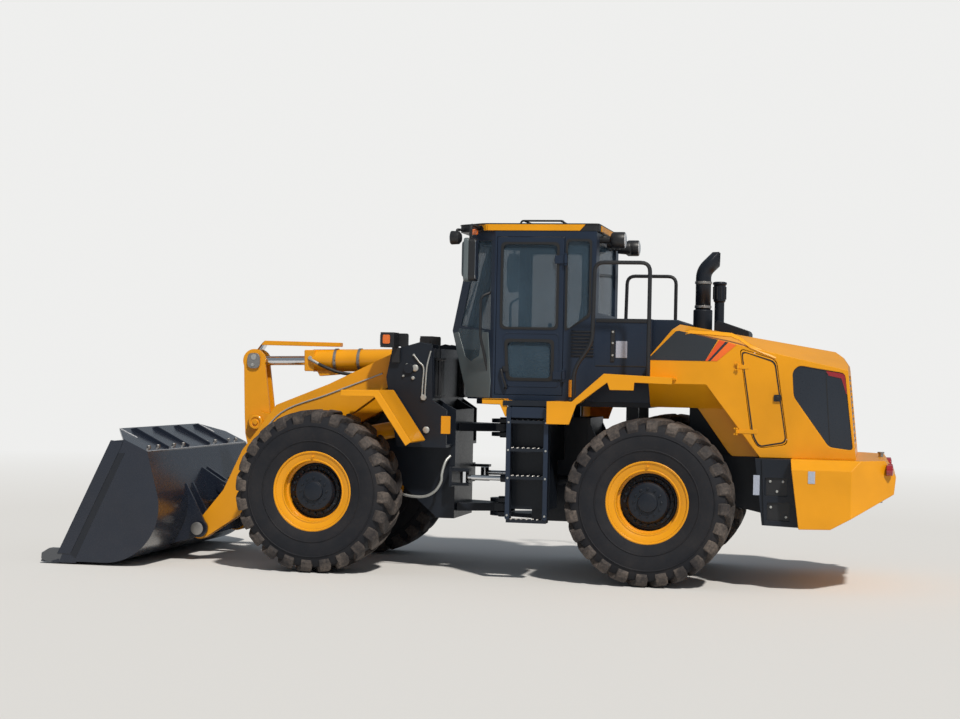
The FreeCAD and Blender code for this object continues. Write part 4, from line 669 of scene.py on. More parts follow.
def make_tilt_cylinder_trim():
    bands = Build()
    for along in (0.545, 0.805):
        rows = []
        for step in (0.0, 0.030):
            row = []
            for i in range(40):
                turn = 2 * math.pi * i / 40
                row.append(on_tilt_barrel(along + step, 0.127 * math.cos(turn), 0.127 * math.sin(turn)))
            rows.append(row)
        bands.loops(rows, ends=False)
        bands.stud("Y", (on_tilt_barrel(along + 0.015, 0, 0)[0], 2.118), 0.014, 0.122, 0.140)
    bands.done("tilt_barrel_clamps", steel, "tilt_barrel", "yellow_paint", smooth=True)
    gland = Build()
    rows = []
    for along, half in ((1.036, 0.104), (1.044, 0.112), (1.144, 0.112), (1.152, 0.104)):
        rows.append([on_tilt_barrel(along, side * half, rise * half) for side, rise in ((1, 1), (-1, 1), (-1, -1),
                                                                                      (1, -1))])
    gland.loops(rows)
    gland.done("tilt_barrel_gland", paint_yellow, "tilt_barrel", "yellow_paint", bevel=0.006)
    guard = Build()
    outline = [(2.729, 2.150), (2.650, 2.262), (1.782, 2.256), (1.776, 2.262), (1.776, 2.300), (2.613, 2.309),
               (2.640, 2.285), (2.735, 2.165)]
    guard.prism("Y", outline, -0.055, 0.055)
    guard.done("tilt_rod_guard", paint_yellow, "tilt_rod", "yellow_paint", bevel=0.004)
    pipe = Build()
    pipe.tube([on_tilt_barrel(1.085, 0.112, 0.01), on_tilt_barrel(1.060, 0.140, 0.004),
               on_tilt_barrel(0.975, 0.150, -0.040)], 0.016)
    pipe.stud("Y", (on_tilt_barrel(1.085, 0, 0)[0], 2.132), 0.024, 0.106, 0.126)
    pipe.done("tilt_hose_fitting", zinc, "tilt_barrel", "yellow_paint", smooth=True)
    line = Build()
    line.tube([on_tilt_barrel(0.980, 0.150, -0.038), on_tilt_barrel(0.86, 0.158, -0.090),
               on_tilt_barrel(0.72, 0.150, -0.135), on_tilt_barrel(0.52, 0.128, -0.150),
               on_tilt_barrel(0.30, 0.110, -0.120)], 0.018)
    line.done("tilt_hose", hose, "tilt_barrel", "black_plastic", smooth=True)
    shoe = Build()
    foot = [on_tilt_barrel(a, 0, r) for a, r in ((1.035, -0.10), (0.78, -0.11), (0.80, -0.150), (1.00, -0.165))]
    shoe.prism("Y", [(x, z) for x, y, z in foot], -0.050, 0.050)
    shoe.done("tilt_barrel_mount", paint_yellow, "tilt_barrel", "yellow_paint", bevel=0.004)


# Front frame

def make_tower_trim():
    tubes = Build()
    y = 0.745
    tubes.tube([(0.798, y, 2.178), (0.744, y, 2.112), (0.694, y, 2.050), (0.700, y, 1.90), (0.706, y, 1.766)], 0.008)
    tubes.tube([(0.622, y, 2.222), (0.646, y, 2.130), (0.662, y, 2.040), (0.670, y, 1.90), (0.675, y, 1.767)], 0.008)
    tubes.stud("Y", (0.690, 1.752), 0.030, 0.730, 0.752, sides=12)
    tubes.both()
    tubes.done("tower_grease_tubes", zinc, "front_frame", "dark_paint", smooth=True)
    pins = Build()
    for x, z, radius in ((0.784, 2.047, 0.034), (0.657, 1.425, 0.034), (0.803, 1.946, 0.018), (0.868, 2.076, 0.016),
                         (0.905, 1.965, 0.012), (0.800, 2.178, 0.012)):
        pins.lathe("Y", (x, z), [(radius, 0.725), (radius, 0.744), (radius * 0.7, 0.750), (0.001, 0.750)], steps=24)
    pins.both()
    pins.done("tower_pin_ends", zinc, "front_frame", "dark_paint", smooth=True)
    sign = Build()
    sign.prism("Y", rounded([(0.408, 1.391), (0.505, 1.391), (0.505, 1.569), (0.408, 1.569)], 0.006), 0.729, 0.734)
    sign.done("tower_blank_sign", paint_yellow, "front_frame", "yellow_paint")
    box = Build()
    for x in (0.555, 0.590):
        box.block((x - 0.014, x + 0.014), (0.470, 0.620), (1.760, 2.140))
    box.block((0.530, 0.601), (0.455, 0.640), (1.745, 1.772))
    box.block((0.530, 0.601), (0.455, 0.640), (2.128, 2.155))
    box.both()
    box.done("tower_rear_covers", plastic, "front_frame", "black_plastic", bevel=0.004)
    loop = Build()
    loop.tube([(0.46, 0.47, 1.160), (0.50, 0.52, 1.098), (0.525, 0.56, 0.978), (0.530, 0.575, 0.897),
               (0.590, 0.58, 0.800), (0.710, 0.56, 0.742), (0.900, 0.52, 0.745), (1.040, 0.44, 0.790)], 0.014)
    loop.done("front_frame_hose_loop", zinc, "front_frame", "black_plastic", smooth=True)
    plate = Build()
    plate.prism("Y", rounded([(0.866, 2.262), (0.975, 2.262), (0.975, 2.395), (0.866, 2.395)], 0.02), 0.697, 0.727)
    plate.prism("Y", [(0.900, 2.060), (0.940, 2.060), (0.940, 2.270), (0.900, 2.270)], 0.705, 0.727)
    plate.both()
    plate.done("tower_lamp_backs", plastic, "front_frame", "black_plastic", bevel=0.004)
    lamps = Build()
    lamps.prism("X", rounded([(0.752, 2.268), (0.908, 2.268), (0.908, 2.382), (0.752, 2.382)], 0.02), 1.098, 1.112)
    lamps.both()
    lamps.done("headlamp_lenses", lens_clear, "front_frame", "black_plastic", bevel=0.003)
    turn = Build()
    turn.prism("Y", rounded([(1.000, 2.285), (1.075, 2.285), (1.075, 2.375), (1.000, 2.375)], 0.018), 0.928, 0.941)
    turn.both()
    turn.done("turn_lamp_lenses", lens_orange, "front_frame", "black_plastic", bevel=0.003)


# Cab

def nose_y(x):
    """How far out the cab's slanted front side stands at a place along X."""
    return 0.800 - max(0.0, x + 0.030) / 0.520 * 0.440


def nose_panel(build, points, low, high):
    """A plate that lies on the cab's slanted front side: (x, z) corners, low and high off its face."""
    rows = []
    for out in (low, high):
        rows.append([(x + out * 0.64, nose_y(x) + out * 0.77, z) for x, z in points])
    return build.loops(rows)


def make_cab_trim():
    corner = Build()
    nose_panel(corner, [(0.000, 1.765), (0.280, 1.765), (0.300, 1.830), (0.412, 2.190), (0.468, 2.415), (0.405, 2.425),
                        (0.310, 2.175), (0.238, 2.130), (0.140, 2.180), (0.100, 2.420), (0.030, 2.420), (-0.010, 1.930)],
               0.001, 0.010)
    corner.both()
    corner.done("cab_corner_panels", paint_grey, "rear_frame", "dark_paint", bevel=0.003)
    tip = Build()
    nose_panel(tip, [(0.310, 2.175), (0.405, 2.425), (0.405, 2.462), (0.080, 2.440), (0.140, 2.180), (0.238, 2.130)],
               0.0005, 0.006)
    tip.both()
    tip.done("cab_corner_glass_tips", glass_dark, "rear_frame", "tinted_glass")
    seals = Build()
    seals.frame("Y", rounded([(-0.682, 2.452), (-0.092, 2.452), (-0.092, 3.322), (-0.682, 3.322)], 0.05), 0.796, 0.806,
                0.024)
    seals.frame("Y", rounded([(-0.645, 1.942), (-0.165, 1.942), (-0.140, 2.358), (-0.645, 2.358)], 0.05), 0.796, 0.806,
                0.030)
    seals.done("cab_door_seals", seal, "cab_door", "black_plastic")
    rib = Build()
    rib.frame("Y", rounded([(-0.700, 1.880), (-0.168, 1.880), (-0.120, 2.420), (-0.700, 2.420)], 0.05), 0.799, 0.8035,
              0.012)
    rib.done("cab_door_pressing", paint_cab, "cab_door", "dark_paint", bevel=0.002)
    handle = Build()
    handle.tube([(-0.160, 0.802, 1.868), (-0.176, 0.836, 1.872), (-0.146, 0.840, 1.960), (-0.122, 0.836, 2.044),
                 (-0.112, 0.802, 2.046)], 0.012)
    handle.block((-0.190, -0.130), (0.799, 0.812), (2.030, 2.085))
    handle.done("cab_door_handle", plastic, "cab_door", "black_plastic", bevel=0.003, smooth=True)
    right = Build()
    right.frame("Y", rounded([(-0.682, 2.425), (-0.092, 2.425), (-0.092, 3.330), (-0.682, 3.330)], 0.05), -0.806,
                -0.798, 0.026)
    for sign in (1, -1):
        low, high = sorted((0.798 * sign, 0.806 * sign))
        outline = [(-1.006, 2.590), (-0.745, 2.435), (-0.745, 3.355), (-1.006, 3.355)]
        right.frame("Y", rounded(outline, 0.04), low, high, 0.022)
    right.done("cab_side_seals", seal, "rear_frame", "black_plastic")
    screen = Build()
    edge = [(-0.325, 2.455), (0.325, 2.455), (0.325, 3.355), (-0.325, 3.355)]
    rows = []
    for inward, out in ((0.0, 0.0), (0.0, 0.008), (0.024, 0.008), (0.024, 0.0)):
        row = []
        for y, z in rounded(edge, 0.05):
            y = y - math.copysign(inward, y)
            z = z + (inward if z < 2.9 else -inward)
            row.append((0.490 - (z - 2.440) * 0.2424 + out, y, z))
        rows.append(row)
    screen.loops(rows, along=True)
    screen.done("windscreen_seal", seal, "rear_frame", "black_plastic")
    louvres = Build()
    for i in range(8):
        z = 2.192 + 0.034 * i
        blade = [(0.799, z), (0.8125, z + 0.004), (0.8125, z + 0.010), (0.799, z + 0.020)]
        louvres.prism("X", blade, -1.040, -0.815)
    louvres.both()
    louvres.done("cab_side_louvres", plastic, "rear_frame", "black_plastic")
    post = Build()
    post.prism("Y", [(-0.862, 1.790), (-0.800, 1.790), (-0.800, 1.960), (-0.862, 1.960)], 0.799, 0.812)
    post.both()
    post.done("cab_yellow_post_plates", paint_yellow, "rear_frame", "yellow_paint", bevel=0.003)
    wiper = Build()
    wiper.tube([(0.500, -0.020, 2.415), (0.480, -0.060, 2.560), (0.420, -0.190, 2.800)], 0.008)
    wiper.tube([(0.452, -0.120, 2.620), (0.372, -0.205, 2.970)], 0.010, smooth=False)
    wiper.block((0.470, 0.512), (-0.060, 0.040), (2.385, 2.425))
    wiper.done("windscreen_wiper", plastic, "rear_frame", "black_plastic", bevel=0.003)


def make_roof():
    body = Build()
    outline = [(-1.070, -0.790), (0.080, -0.790), (0.388, -0.552), (0.388, 0.552), (0.080, 0.790), (-1.070, 0.790)]
    body.prism("Z", rounded(outline, 0.05), 3.430, 3.502)
    lid = [(-1.074, -0.797), (0.092, -0.797), (0.394, -0.558), (0.394, 0.558), (0.092, 0.797), (-1.074, 0.797)]
    body.prism("Z", rounded(lid, 0.05), 3.496, 3.510)
    body.done("cab_roof_cap", plastic, "rear_frame", "black_plastic", ["cab_roof"], bevel=0.006)
    band = Build()
    side = [(-0.935, 3.498), (-0.880, 3.436), (0.050, 3.436), (0.060, 3.498)]
    band.prism("Y", side, 0.770, 0.800)
    turned = []
    for out in (0.0, 0.012):
        turned.append([(x + out * 0.6, y + out * 0.8, z) for x, y, z in (
            (0.052, 0.792, 3.436), (0.165, 0.708, 3.436), (0.215, 0.670, 3.498), (0.060, 0.792, 3.498))])
    band.loops(turned)
    band.both()
    band.done("cab_roof_band", paint_yellow, "rear_frame", "yellow_paint", bevel=0.003)
    rear = Build()
    rear.block((-1.078, -1.062), (-0.640, 0.640), (3.438, 3.496))
    rear.done("cab_roof_rear_band", paint_yellow, "rear_frame", "yellow_paint", bevel=0.003)


def make_rails():
    deck = Build()
    deck.tube(bent([(-0.913, 1.200, 1.735), (-0.913, 1.200, 2.060), (-1.085, 1.200, 2.330), (-1.098, 1.200, 3.100),
                    (-1.631, 1.200, 3.100), (-1.631, 1.200, 1.985)], 0.09), 0.020, smooth=False)
    deck.tube(bent([(0.015, 0.725, 2.820), (0.112, 0.770, 2.777), (0.112, 0.770, 2.381), (0.015, 0.735, 1.950)], 0.05),
              0.014, smooth=False)
    deck.tube(bent([(0.150, 0.690, 3.465), (0.150, 1.130, 3.465), (0.150, 1.130, 3.300)], 0.06), 0.015, smooth=False)
    deck.tube([(-0.935, 1.180, 1.760), (-0.875, 1.180, 1.760)], 0.030, smooth=False)
    deck.both()
    deck.done("deck_and_grab_rails", plastic, "rear_frame", "black_plastic", ["rails_and_lamps"], smooth=True)
    top = Build()
    top.tube(bent([(-0.250, 0.640, 3.500), (-0.262, 0.640, 3.546), (-0.688, 0.640, 3.546), (-0.700, 0.640, 3.500)],
                  0.03), 0.010, smooth=False)
    top.both()
    for x in (-0.290, -0.660):
        top.tube([(x, -0.640, 3.546), (x, 0.640, 3.546)], 0.010, smooth=False)
    top.done("roof_rails", plastic, "rear_frame", "black_plastic", smooth=True)
    beacon = Build()
    beacon.lathe("Z", (-0.150, -0.620), [(0.050, 3.500), (0.050, 3.520), (0.035, 3.526)], steps=32)
    beacon.done("beacon_foot", plastic, "rear_frame", "black_plastic", smooth=True)


def make_lamps_and_mirrors():
    cases = Build()
    cases.prism("X", rounded([(1.050, 2.910), (1.230, 2.910), (1.230, 3.325), (1.050, 3.325)], 0.05), 0.085, 0.150)
    cases.both()
    cases.done("mirror_cases", plastic, "rear_frame", "black_plastic", bevel=0.006)
    shells = Build()
    outline = rounded([(1.042, 2.902), (1.238, 2.902), (1.238, 3.333), (1.042, 3.333)], 0.05)
    shells.prism("X", outline, 0.148, 0.200)
    shells.prism("X", rounded([(1.070, 2.950), (1.210, 2.950), (1.210, 3.300), (1.070, 3.300)], 0.05), 0.198, 0.222)
    shells.both()
    shells.done("mirror_shells", paint_grey, "rear_frame", "black_plastic", bevel=0.012)
    faces = Build()
    faces.prism("X", rounded([(1.062, 2.922), (1.218, 2.922), (1.218, 3.313), (1.062, 3.313)], 0.04), 0.081, 0.086)
    faces.both()
    faces.done("mirror_faces", mirror_face, "rear_frame", "chrome_rod")
    front = Build()
    front.lathe("X", (0.650, 3.372), [(0.040, 0.352), (0.066, 0.375), (0.070, 0.450), (0.066, 0.458)], steps=32)
    front.tube(bent([(0.330, 0.560, 3.455), (0.400, 0.650, 3.455), (0.400, 0.650, 3.410)], 0.03), 0.014, smooth=False)
    front.lathe("X", (0.560, 3.360), [(0.030, -1.045), (0.034, -1.150), (0.070, -1.165), (0.084, -1.190),
                                      (0.084, -1.290), (0.078, -1.300)], steps=32)
    front.both()
    front.done("work_lamp_cases", plastic, "rear_frame", "black_plastic", smooth=True)
    lenses = Build()
    lenses.lathe("X", (0.650, 3.372), [(0.064, 0.455), (0.062, 0.462), (0.040, 0.468), (0.001, 0.470)], steps=32)
    round_lens = [(0.074, -1.296), (0.072, -1.304), (0.050, -1.310), (0.001, -1.312)]
    lenses.lathe("X", (0.560, 3.360), round_lens, steps=32)
    lenses.both()
    lenses.done("work_lamp_lenses", lens_clear, "rear_frame", "black_plastic", smooth=True)
    second = Build()
    second.lathe("X", (0.400, 3.350), [(0.001, -1.090), (0.060, -1.100), (0.070, -1.220), (0.066, -1.232)], steps=32)
    second.tube([(-1.05, 0.400, 3.400), (-1.10, 0.400, 3.385), (-1.16, 0.400, 3.360)], 0.022, smooth=False)
    second.both()
    second.done("rear_inner_work_lamps", plastic, "rear_frame", "black_plastic", smooth=True)
    amber = Build()
    amber.lathe("Z", (0.185, 0.790), [(0.030, 3.392), (0.034, 3.400), (0.034, 3.438), (0.020, 3.448)], steps=24)
    amber.both()
    amber.done("amber_side_lamps", lens_orange, "rear_frame", "black_plastic", smooth=True)
    brackets = Build()
    brackets.tube([(0.185, 0.660, 3.452), (0.185, 0.790, 3.452)], 0.012, smooth=False)
    brackets.both()
    brackets.done("amber_lamp_brackets", plastic, "rear_frame", "black_plastic", smooth=True)


def make_ac_box_trim():
    plates = Build()
    plates.prism("Y", rounded([(-1.373, 2.187), (-1.261, 2.187), (-1.261, 2.352), (-1.373, 2.352)], 0.006), 0.799,
                 0.804)
    plates.both()
    plates.done("air_box_blank_plates", label_pale, "rear_frame", "dark_paint")
    strips = Build()
    strips.block((-1.250, -1.212), (0.799, 0.812), (2.150, 2.460))
    strips.block((-1.600, -1.060), (0.799, 0.808), (2.535, 2.570))
    strips.block((-1.600, -1.060), (0.799, 0.804), (2.100, 2.112))
    strips.both()
    strips.done("air_box_strips", plastic, "rear_frame", "black_plastic", bevel=0.003)
    latches = Build()
    for z in (2.210, 2.330, 2.440):
        latches.stud("Y", (-1.231, z), 0.012, 0.811, 0.820)
    latches.both()
    latches.done("air_box_latches", zinc, "rear_frame", "dark_paint")


# Steps and deck

def make_step_trim():
    guards = Build()
    guards.prism("Y", [(-0.030, 1.765), (-0.255, 1.765), (-0.315, 1.600), (-0.262, 1.592), (-0.205, 1.712),
                       (-0.030, 1.712)], 1.268, 1.290)
    guards.block((-0.262, -0.030), (1.130, 1.290), (1.752, 1.765))
    guards.block((-0.300, -0.236), (1.130, 1.288), (1.735, 1.753))
    guards.both()
    guards.done("step_front_guards", paint_yellow, "rear_frame", "yellow_paint", bevel=0.003)
    grips = Build()
    for z in (0.600, 1.020, 1.290, 1.560):
        for i in range(7):
            for y in (1.185, 1.225, 1.265):
                grips.lathe("Z", (-0.640 + 0.052 * i, y), [(0.013, z), (0.010, z + 0.007)], steps=8)
    grips.both()
    grips.done("step_grip_buttons", steel, "rear_frame", "dark_paint")
    sides = Build()
    for x in (-0.300, -0.668):
        sides.prism("Y", rounded([(x - 0.022, 0.600), (x + 0.022, 0.600), (x + 0.022, 1.690), (x - 0.022, 1.690)], 0.02),
                    1.296, 1.304)
    sides.both()
    sides.done("ladder_side_strips", paint_cab, "rear_frame", "dark_paint", bevel=0.002)
    kick = Build()
    kick.prism("Y", rounded([(-0.650, 1.585), (-0.318, 1.585), (-0.318, 1.690), (-0.650, 1.690)], 0.02), 1.288, 1.297)
    kick.both()
    kick.done("ladder_top_plates", paint_cab, "rear_frame", "dark_paint", bevel=0.003)
    bolts = Build()
    for x in (-0.300, -0.668):
        for z in (0.640, 1.000, 1.270, 1.540):
            bolts.stud("Y", (x, z), 0.011, 1.302, 1.312)
    bolts.both()
    bolts.done("ladder_bolts", zinc, "rear_frame", "dark_paint")


# Hood, lids, exhaust, counterweight and fenders

HOOD_HALF = 0.980
HOOD_SLOPE = math.radians(-12.3)
HOOD_WALL = 0.025
GRILLE_DEPTH = 0.014
SIDE_GRILLE = [(-2.985, 2.085), (-3.045, 2.145), (-3.478, 2.078), (-3.565, 1.345), (-3.340, 1.372), (-3.000, 1.845)]


def facet_cutter(inset, side):
    """What is cut away low on the hood's side to give the leaning facet over the rear wheel."""
    arch = [(-1.500, 1.000), (-1.500, 2.100), (-2.044 - inset * 1.25, 2.100), (-2.888 - inset * 1.25, 1.000)]
    low = 0.790 - inset
    lean = [(low * side, 1.000), (low * side, 1.712 + inset * 0.36), (1.000 * side, 1.969 + inset * 1.58),
            (1.000 * side, 1.000)]
    near, far = sorted((0.730 * side, 1.000 * side))
    plate = Build().prism("Y", arch, near, far).mesh("facet_arch")
    return carved(plate, "INTERSECT", Build().prism("X", lean, -2.950, -1.480).mesh("facet_lean"))


def hood_form(inset, drop):
    """The hood's outer form drawn in by inset, its underside lowered by drop."""
    front = -1.610 - inset
    side = [(front, 1.712 - drop), (front, 2.200 - inset * 0.33), (-1.877 - inset * 0.45, 2.526 - inset),
            (-3.376, 2.286 - inset), (-3.448 + inset, 2.235 - inset), (-3.503 + inset, 2.152 - inset),
            (-3.596 + inset, 1.255 - drop), (-2.416, 1.255 - drop), (-2.374, 1.293 - drop), (-2.073, 1.712 - drop)]
    form = Build().prism("Y", side, -1.050, 1.050).mesh("hood_side")
    half = HOOD_HALF - inset
    crease = -inset * 0.78
    top = 0.184 - inset * 1.03
    section = [(-half, -1.800), (half, -1.800), (half, crease), (0.250, top), (-0.250, top), (-half, crease)]
    slab = Build().prism("X", section, -2.200, 0.600).mesh("hood_section")
    slab.transform(Matrix.Translation((-1.877, 0, 2.461)) @ Matrix.Rotation(HOOD_SLOPE, 4, "Y"))
    full = carved(form, "INTERSECT", slab)
    return carved(full, "DIFFERENCE", facet_cutter(inset, 1), facet_cutter(inset, -1))


def hatch_outline(gap):
    """The side lid's leaning outline, drawn in by gap."""
    return rounded([(-2.480 - gap * 1.2, 2.300 - gap * 1.4), (-2.835 + gap, 2.195 - gap),
                    (-2.955 + gap * 1.2, 1.384 + gap), (-2.675 - gap * 0.7, 1.340 + gap),
                    (-2.605 - gap, 1.456 + gap * 0.3)], 0.055, steps=5)


def on_hood_back(build, outline, low, high):
    """A plate on the hood's leaning rear face: (y, z) corners, low and high off the face."""
    rows = []
    for out in (low, high):
        rows.append([(-3.503 - (2.152 - z) * 0.1037 - out, y, z) for y, z in outline])
    return build.loops(rows)


def make_hood():
    inner = hood_form(HOOD_WALL, 0.100)
    openings = Build().prism("Y", hatch_outline(0.0), 0.900, 1.060).both().mesh("hatch_openings")
    sides = Build().prism("Y", rounded(SIDE_GRILLE, 0.04), HOOD_HALF - GRILLE_DEPTH, 1.060).both().mesh("side_recess")
    rear = [(-0.760, 1.345), (0.760, 1.345), (0.760, 2.060), (-0.760, 2.060)]
    back = on_hood_back(Build(), rounded(rear, 0.05), -GRILLE_DEPTH, 0.060).mesh("rear_recess")
    shell = carved(hood_form(0.0, 0.0), "DIFFERENCE", inner, openings, sides, back)
    Build().take(shell).done("hood_body", paint_yellow, "rear_frame", "yellow_paint", ["hood_shell"], bevel=0.010)
    grille = Build()
    on_hood_back(grille, rounded(rear, 0.05), -GRILLE_DEPTH - 0.004, 0.002 - GRILLE_DEPTH)
    for i in range(12):
        z = 1.385 + 0.056 * i
        bar = [(-0.745, z), (0.745, z), (0.745, z + 0.018), (-0.745, z + 0.018)]
        on_hood_back(grille, bar, -GRILLE_DEPTH, -0.002)
    grille.done("hood_rear_screen", grille_dark, "rear_frame", "dark_paint", ["rear_grille"], bevel=0.002)
    for label, sign in (("left", 1), ("right", -1)):
        near, far = sorted(((HOOD_HALF - HOOD_WALL) * sign, HOOD_HALF * sign))
        lid = Build().prism("Y", hatch_outline(0.005), near, far)
        fixed = Build()
        for z, reach in ((2.120, 0.105), (1.500, 0.195)):
            low, high = sorted((0.979 * sign, 0.984 * sign))
            lid.block((-2.468 - reach, -2.470), (low, high), (z - 0.020, z + 0.020))
            inside, outside = sorted((0.979 * sign, 1.001 * sign))
            lid.block((-2.474, -2.464), (inside, outside), (z - 0.018, z + 0.018))
            lid.lathe("Z", (-2.468, 1.000 * sign), [(0.011, z - 0.018), (0.011, z + 0.018)], steps=20)
            for step in (-0.036, 0.020):
                fixed.lathe("Z", (-2.468, 1.000 * sign), [(0.011, z + step), (0.011, z + step + 0.016)], steps=20)
                fixed.block((-2.468, -2.440), (inside, outside), (z + step, z + step + 0.016))
        lid.done(f"hood_lid_{label}", paint_yellow, f"hood_door_{label}", "yellow_paint", [f"hood_door_{label}"],
                 bevel=0.003)
        fixed.done(f"hood_lid_{label}_hinges", paint_yellow, "rear_frame", "yellow_paint", bevel=0.002)
    tail = Build()
    tail.prism("Y", [(-1.600, 2.210), (-1.600, 2.573), (-1.850, 2.573), (-1.945, 2.535), (-1.960, 2.400)], -0.640, 0.640)
    tail.done("air_box_tail", paint_cab, "rear_frame", "dark_paint", bevel=0.008)


def make_exhaust():
    lower = Build()
    lower.lathe("Z", (-2.035, 0), [(0.097, 2.440), (0.097, 2.690), (0.090, 2.700), (0.080, 2.700)], steps=40)
    lower.lathe("Z", (-2.183, -0.220), [(0.050, 2.400), (0.050, 2.786), (0.062, 2.795), (0.062, 2.962),
                                        (0.072, 2.966), (0.072, 2.990), (0.050, 2.997)], steps=40)
    lower.prism("Y", [(-2.180, 2.430), (-2.180, 2.560), (-2.205, 2.588), (-2.505, 2.490), (-2.520, 2.465),
                      (-2.520, 2.380)], -0.330, 0.250)
    lower.done("exhaust_collar_and_cleaner", paint_dark, "rear_frame", "dark_paint", ["exhaust"], bevel=0.006,
               smooth=True)
    pipe = Build()
    rows = []
    line = bent([Vector((-2.035, 0, 2.680)), Vector((-2.035, 0, 3.090)), Vector((-2.330, 0, 3.385))], 0.07, steps=6)
    for i, spot in enumerate(line):
        ahead = (line[min(i + 1, len(line) - 1)] - line[max(i - 1, 0)]).normalized()
        side = Vector((0, 1, 0))
        other = ahead.cross(side)
        rows.append([spot + side * (0.078 * math.cos(2 * math.pi * k / 40)) + other * (
            0.078 * math.sin(2 * math.pi * k / 40)) for k in range(40)])
    pipe.loops(rows, ends=False)
    for place, away in (((-2.195, 0, 0), (-1, 0, 0)), ((0, 0, 3.285), (0, 0, 1))):
        bmesh.ops.bisect_plane(pipe.bm, geom=pipe.bm.verts[:] + pipe.bm.edges[:] + pipe.bm.faces[:], plane_co=place,
                               plane_no=away, clear_outer=True)
    stack = pipe.done("exhaust_pipe", paint_dark, "rear_frame", "dark_paint", smooth=True)
    wall = stack.modifiers.new("wall", "SOLIDIFY")
    wall.thickness = 0.007


def make_counterweight():
    side = [(-2.992, 1.250), (-3.079, 0.601), (-3.373, 0.608), (-3.954, 0.934), (-3.971, 1.099), (-3.865, 1.255),
            (-2.992, 1.255)]
    plan = [(-2.980, -1.250), (-3.560, -1.250), (-3.971, -0.820), (-3.971, 0.820), (-3.560, 1.250), (-2.980, 1.250)]
    face = [(-1.250, 0.500), (1.250, 0.500), (1.250, 1.160), (1.155, 1.255), (-1.155, 1.255), (-1.250, 1.160)]
    form = Build().prism("Y", side, -1.300, 1.300).mesh("weight_side")
    plan_form = Build().prism("Z", plan, 0.550, 1.300).mesh("weight_plan")
    face_form = Build().prism("X", face, -4.000, -2.950).mesh("weight_face")
    slot = Build().block((-3.990, -3.700), (-0.130, 0.130), (0.920, 1.040)).mesh("tow_slot")
    block = carved(carved(form, "INTERSECT", plan_form, face_form), "DIFFERENCE", slot)
    Build().take(block).done("counterweight_block", paint_yellow, "rear_frame", "yellow_paint", ["counterweight"],
                             bevel=0.012)
    pin = Build()
    pin.lathe("Z", (-3.830, 0), [(0.024, 0.800), (0.024, 1.290), (0.034, 1.292), (0.034, 1.305)], steps=24)
    pin.done("tow_pin", steel, "rear_frame", "dark_paint", smooth=True)
    case =[(-2.715, 1.248), (-2.747, 0.614), (-3.079, 0.603), (-2.992, 1.248)]
    Build().prism("Y", [(-2.760, 1.080), (-2.770, 0.655), (-3.000, 0.655), (-2.985, 1.080)], 1.036, 1.0525).both().done(
        "side_box_backs", plastic, "rear_frame", "black_plastic")
    plate = Build().prism("Y", case, 1.044, 1.068).both().mesh("side_box_plate")
    windows = Build()
    for back, low in ((-2.990, 0.661), (-2.962, 0.896)):
        outline = rounded([(back, low), (back + 0.215, low), (back + 0.215, low + 0.172), (back, low + 0.172)], 0.012)
        windows.prism("Y", outline, 1.030, 1.080)
    cut_plate = carved(plate, "DIFFERENCE", windows.both().mesh("side_box_windows"))
    Build().take(cut_plate).done("side_box_plates", paint_dark, "rear_frame", "dark_paint", bevel=0.003)


def make_fender_lips():
    rear = Build()
    outline = [(-0.680, 1.533), (-0.680, 1.752), (-0.922, 1.752), (-1.228, 2.028), (-1.880, 2.002), (-1.880, 1.938),
               (-1.520, 1.948), (-1.515, 1.873), (-1.286, 1.873), (-1.262, 1.944), (-0.966, 1.720), (-0.900, 1.533)]
    rear.prism("Y", outline, 1.352, 1.373)
    rear.both()
    rear.done("rear_fender_lips", paint_yellow, "rear_frame", "yellow_paint", bevel=0.004)
    front = Build()
    front.prism("Y", [(1.376, 1.818), (0.990, 1.822), (0.650, 1.325), (0.668, 1.312), (1.000, 1.798), (1.376, 1.794)],
                0.780, 1.370)
    front.prism("Y", [(1.376, 1.818), (0.990, 1.822), (0.650, 1.325), (0.708, 1.285), (1.036, 1.760), (1.376, 1.756)],
                1.350, 1.371)
    front.both()
    front.done("front_fender_shells", paint_yellow, "front_frame", "yellow_paint", ["front_fenders"], bevel=0.004)


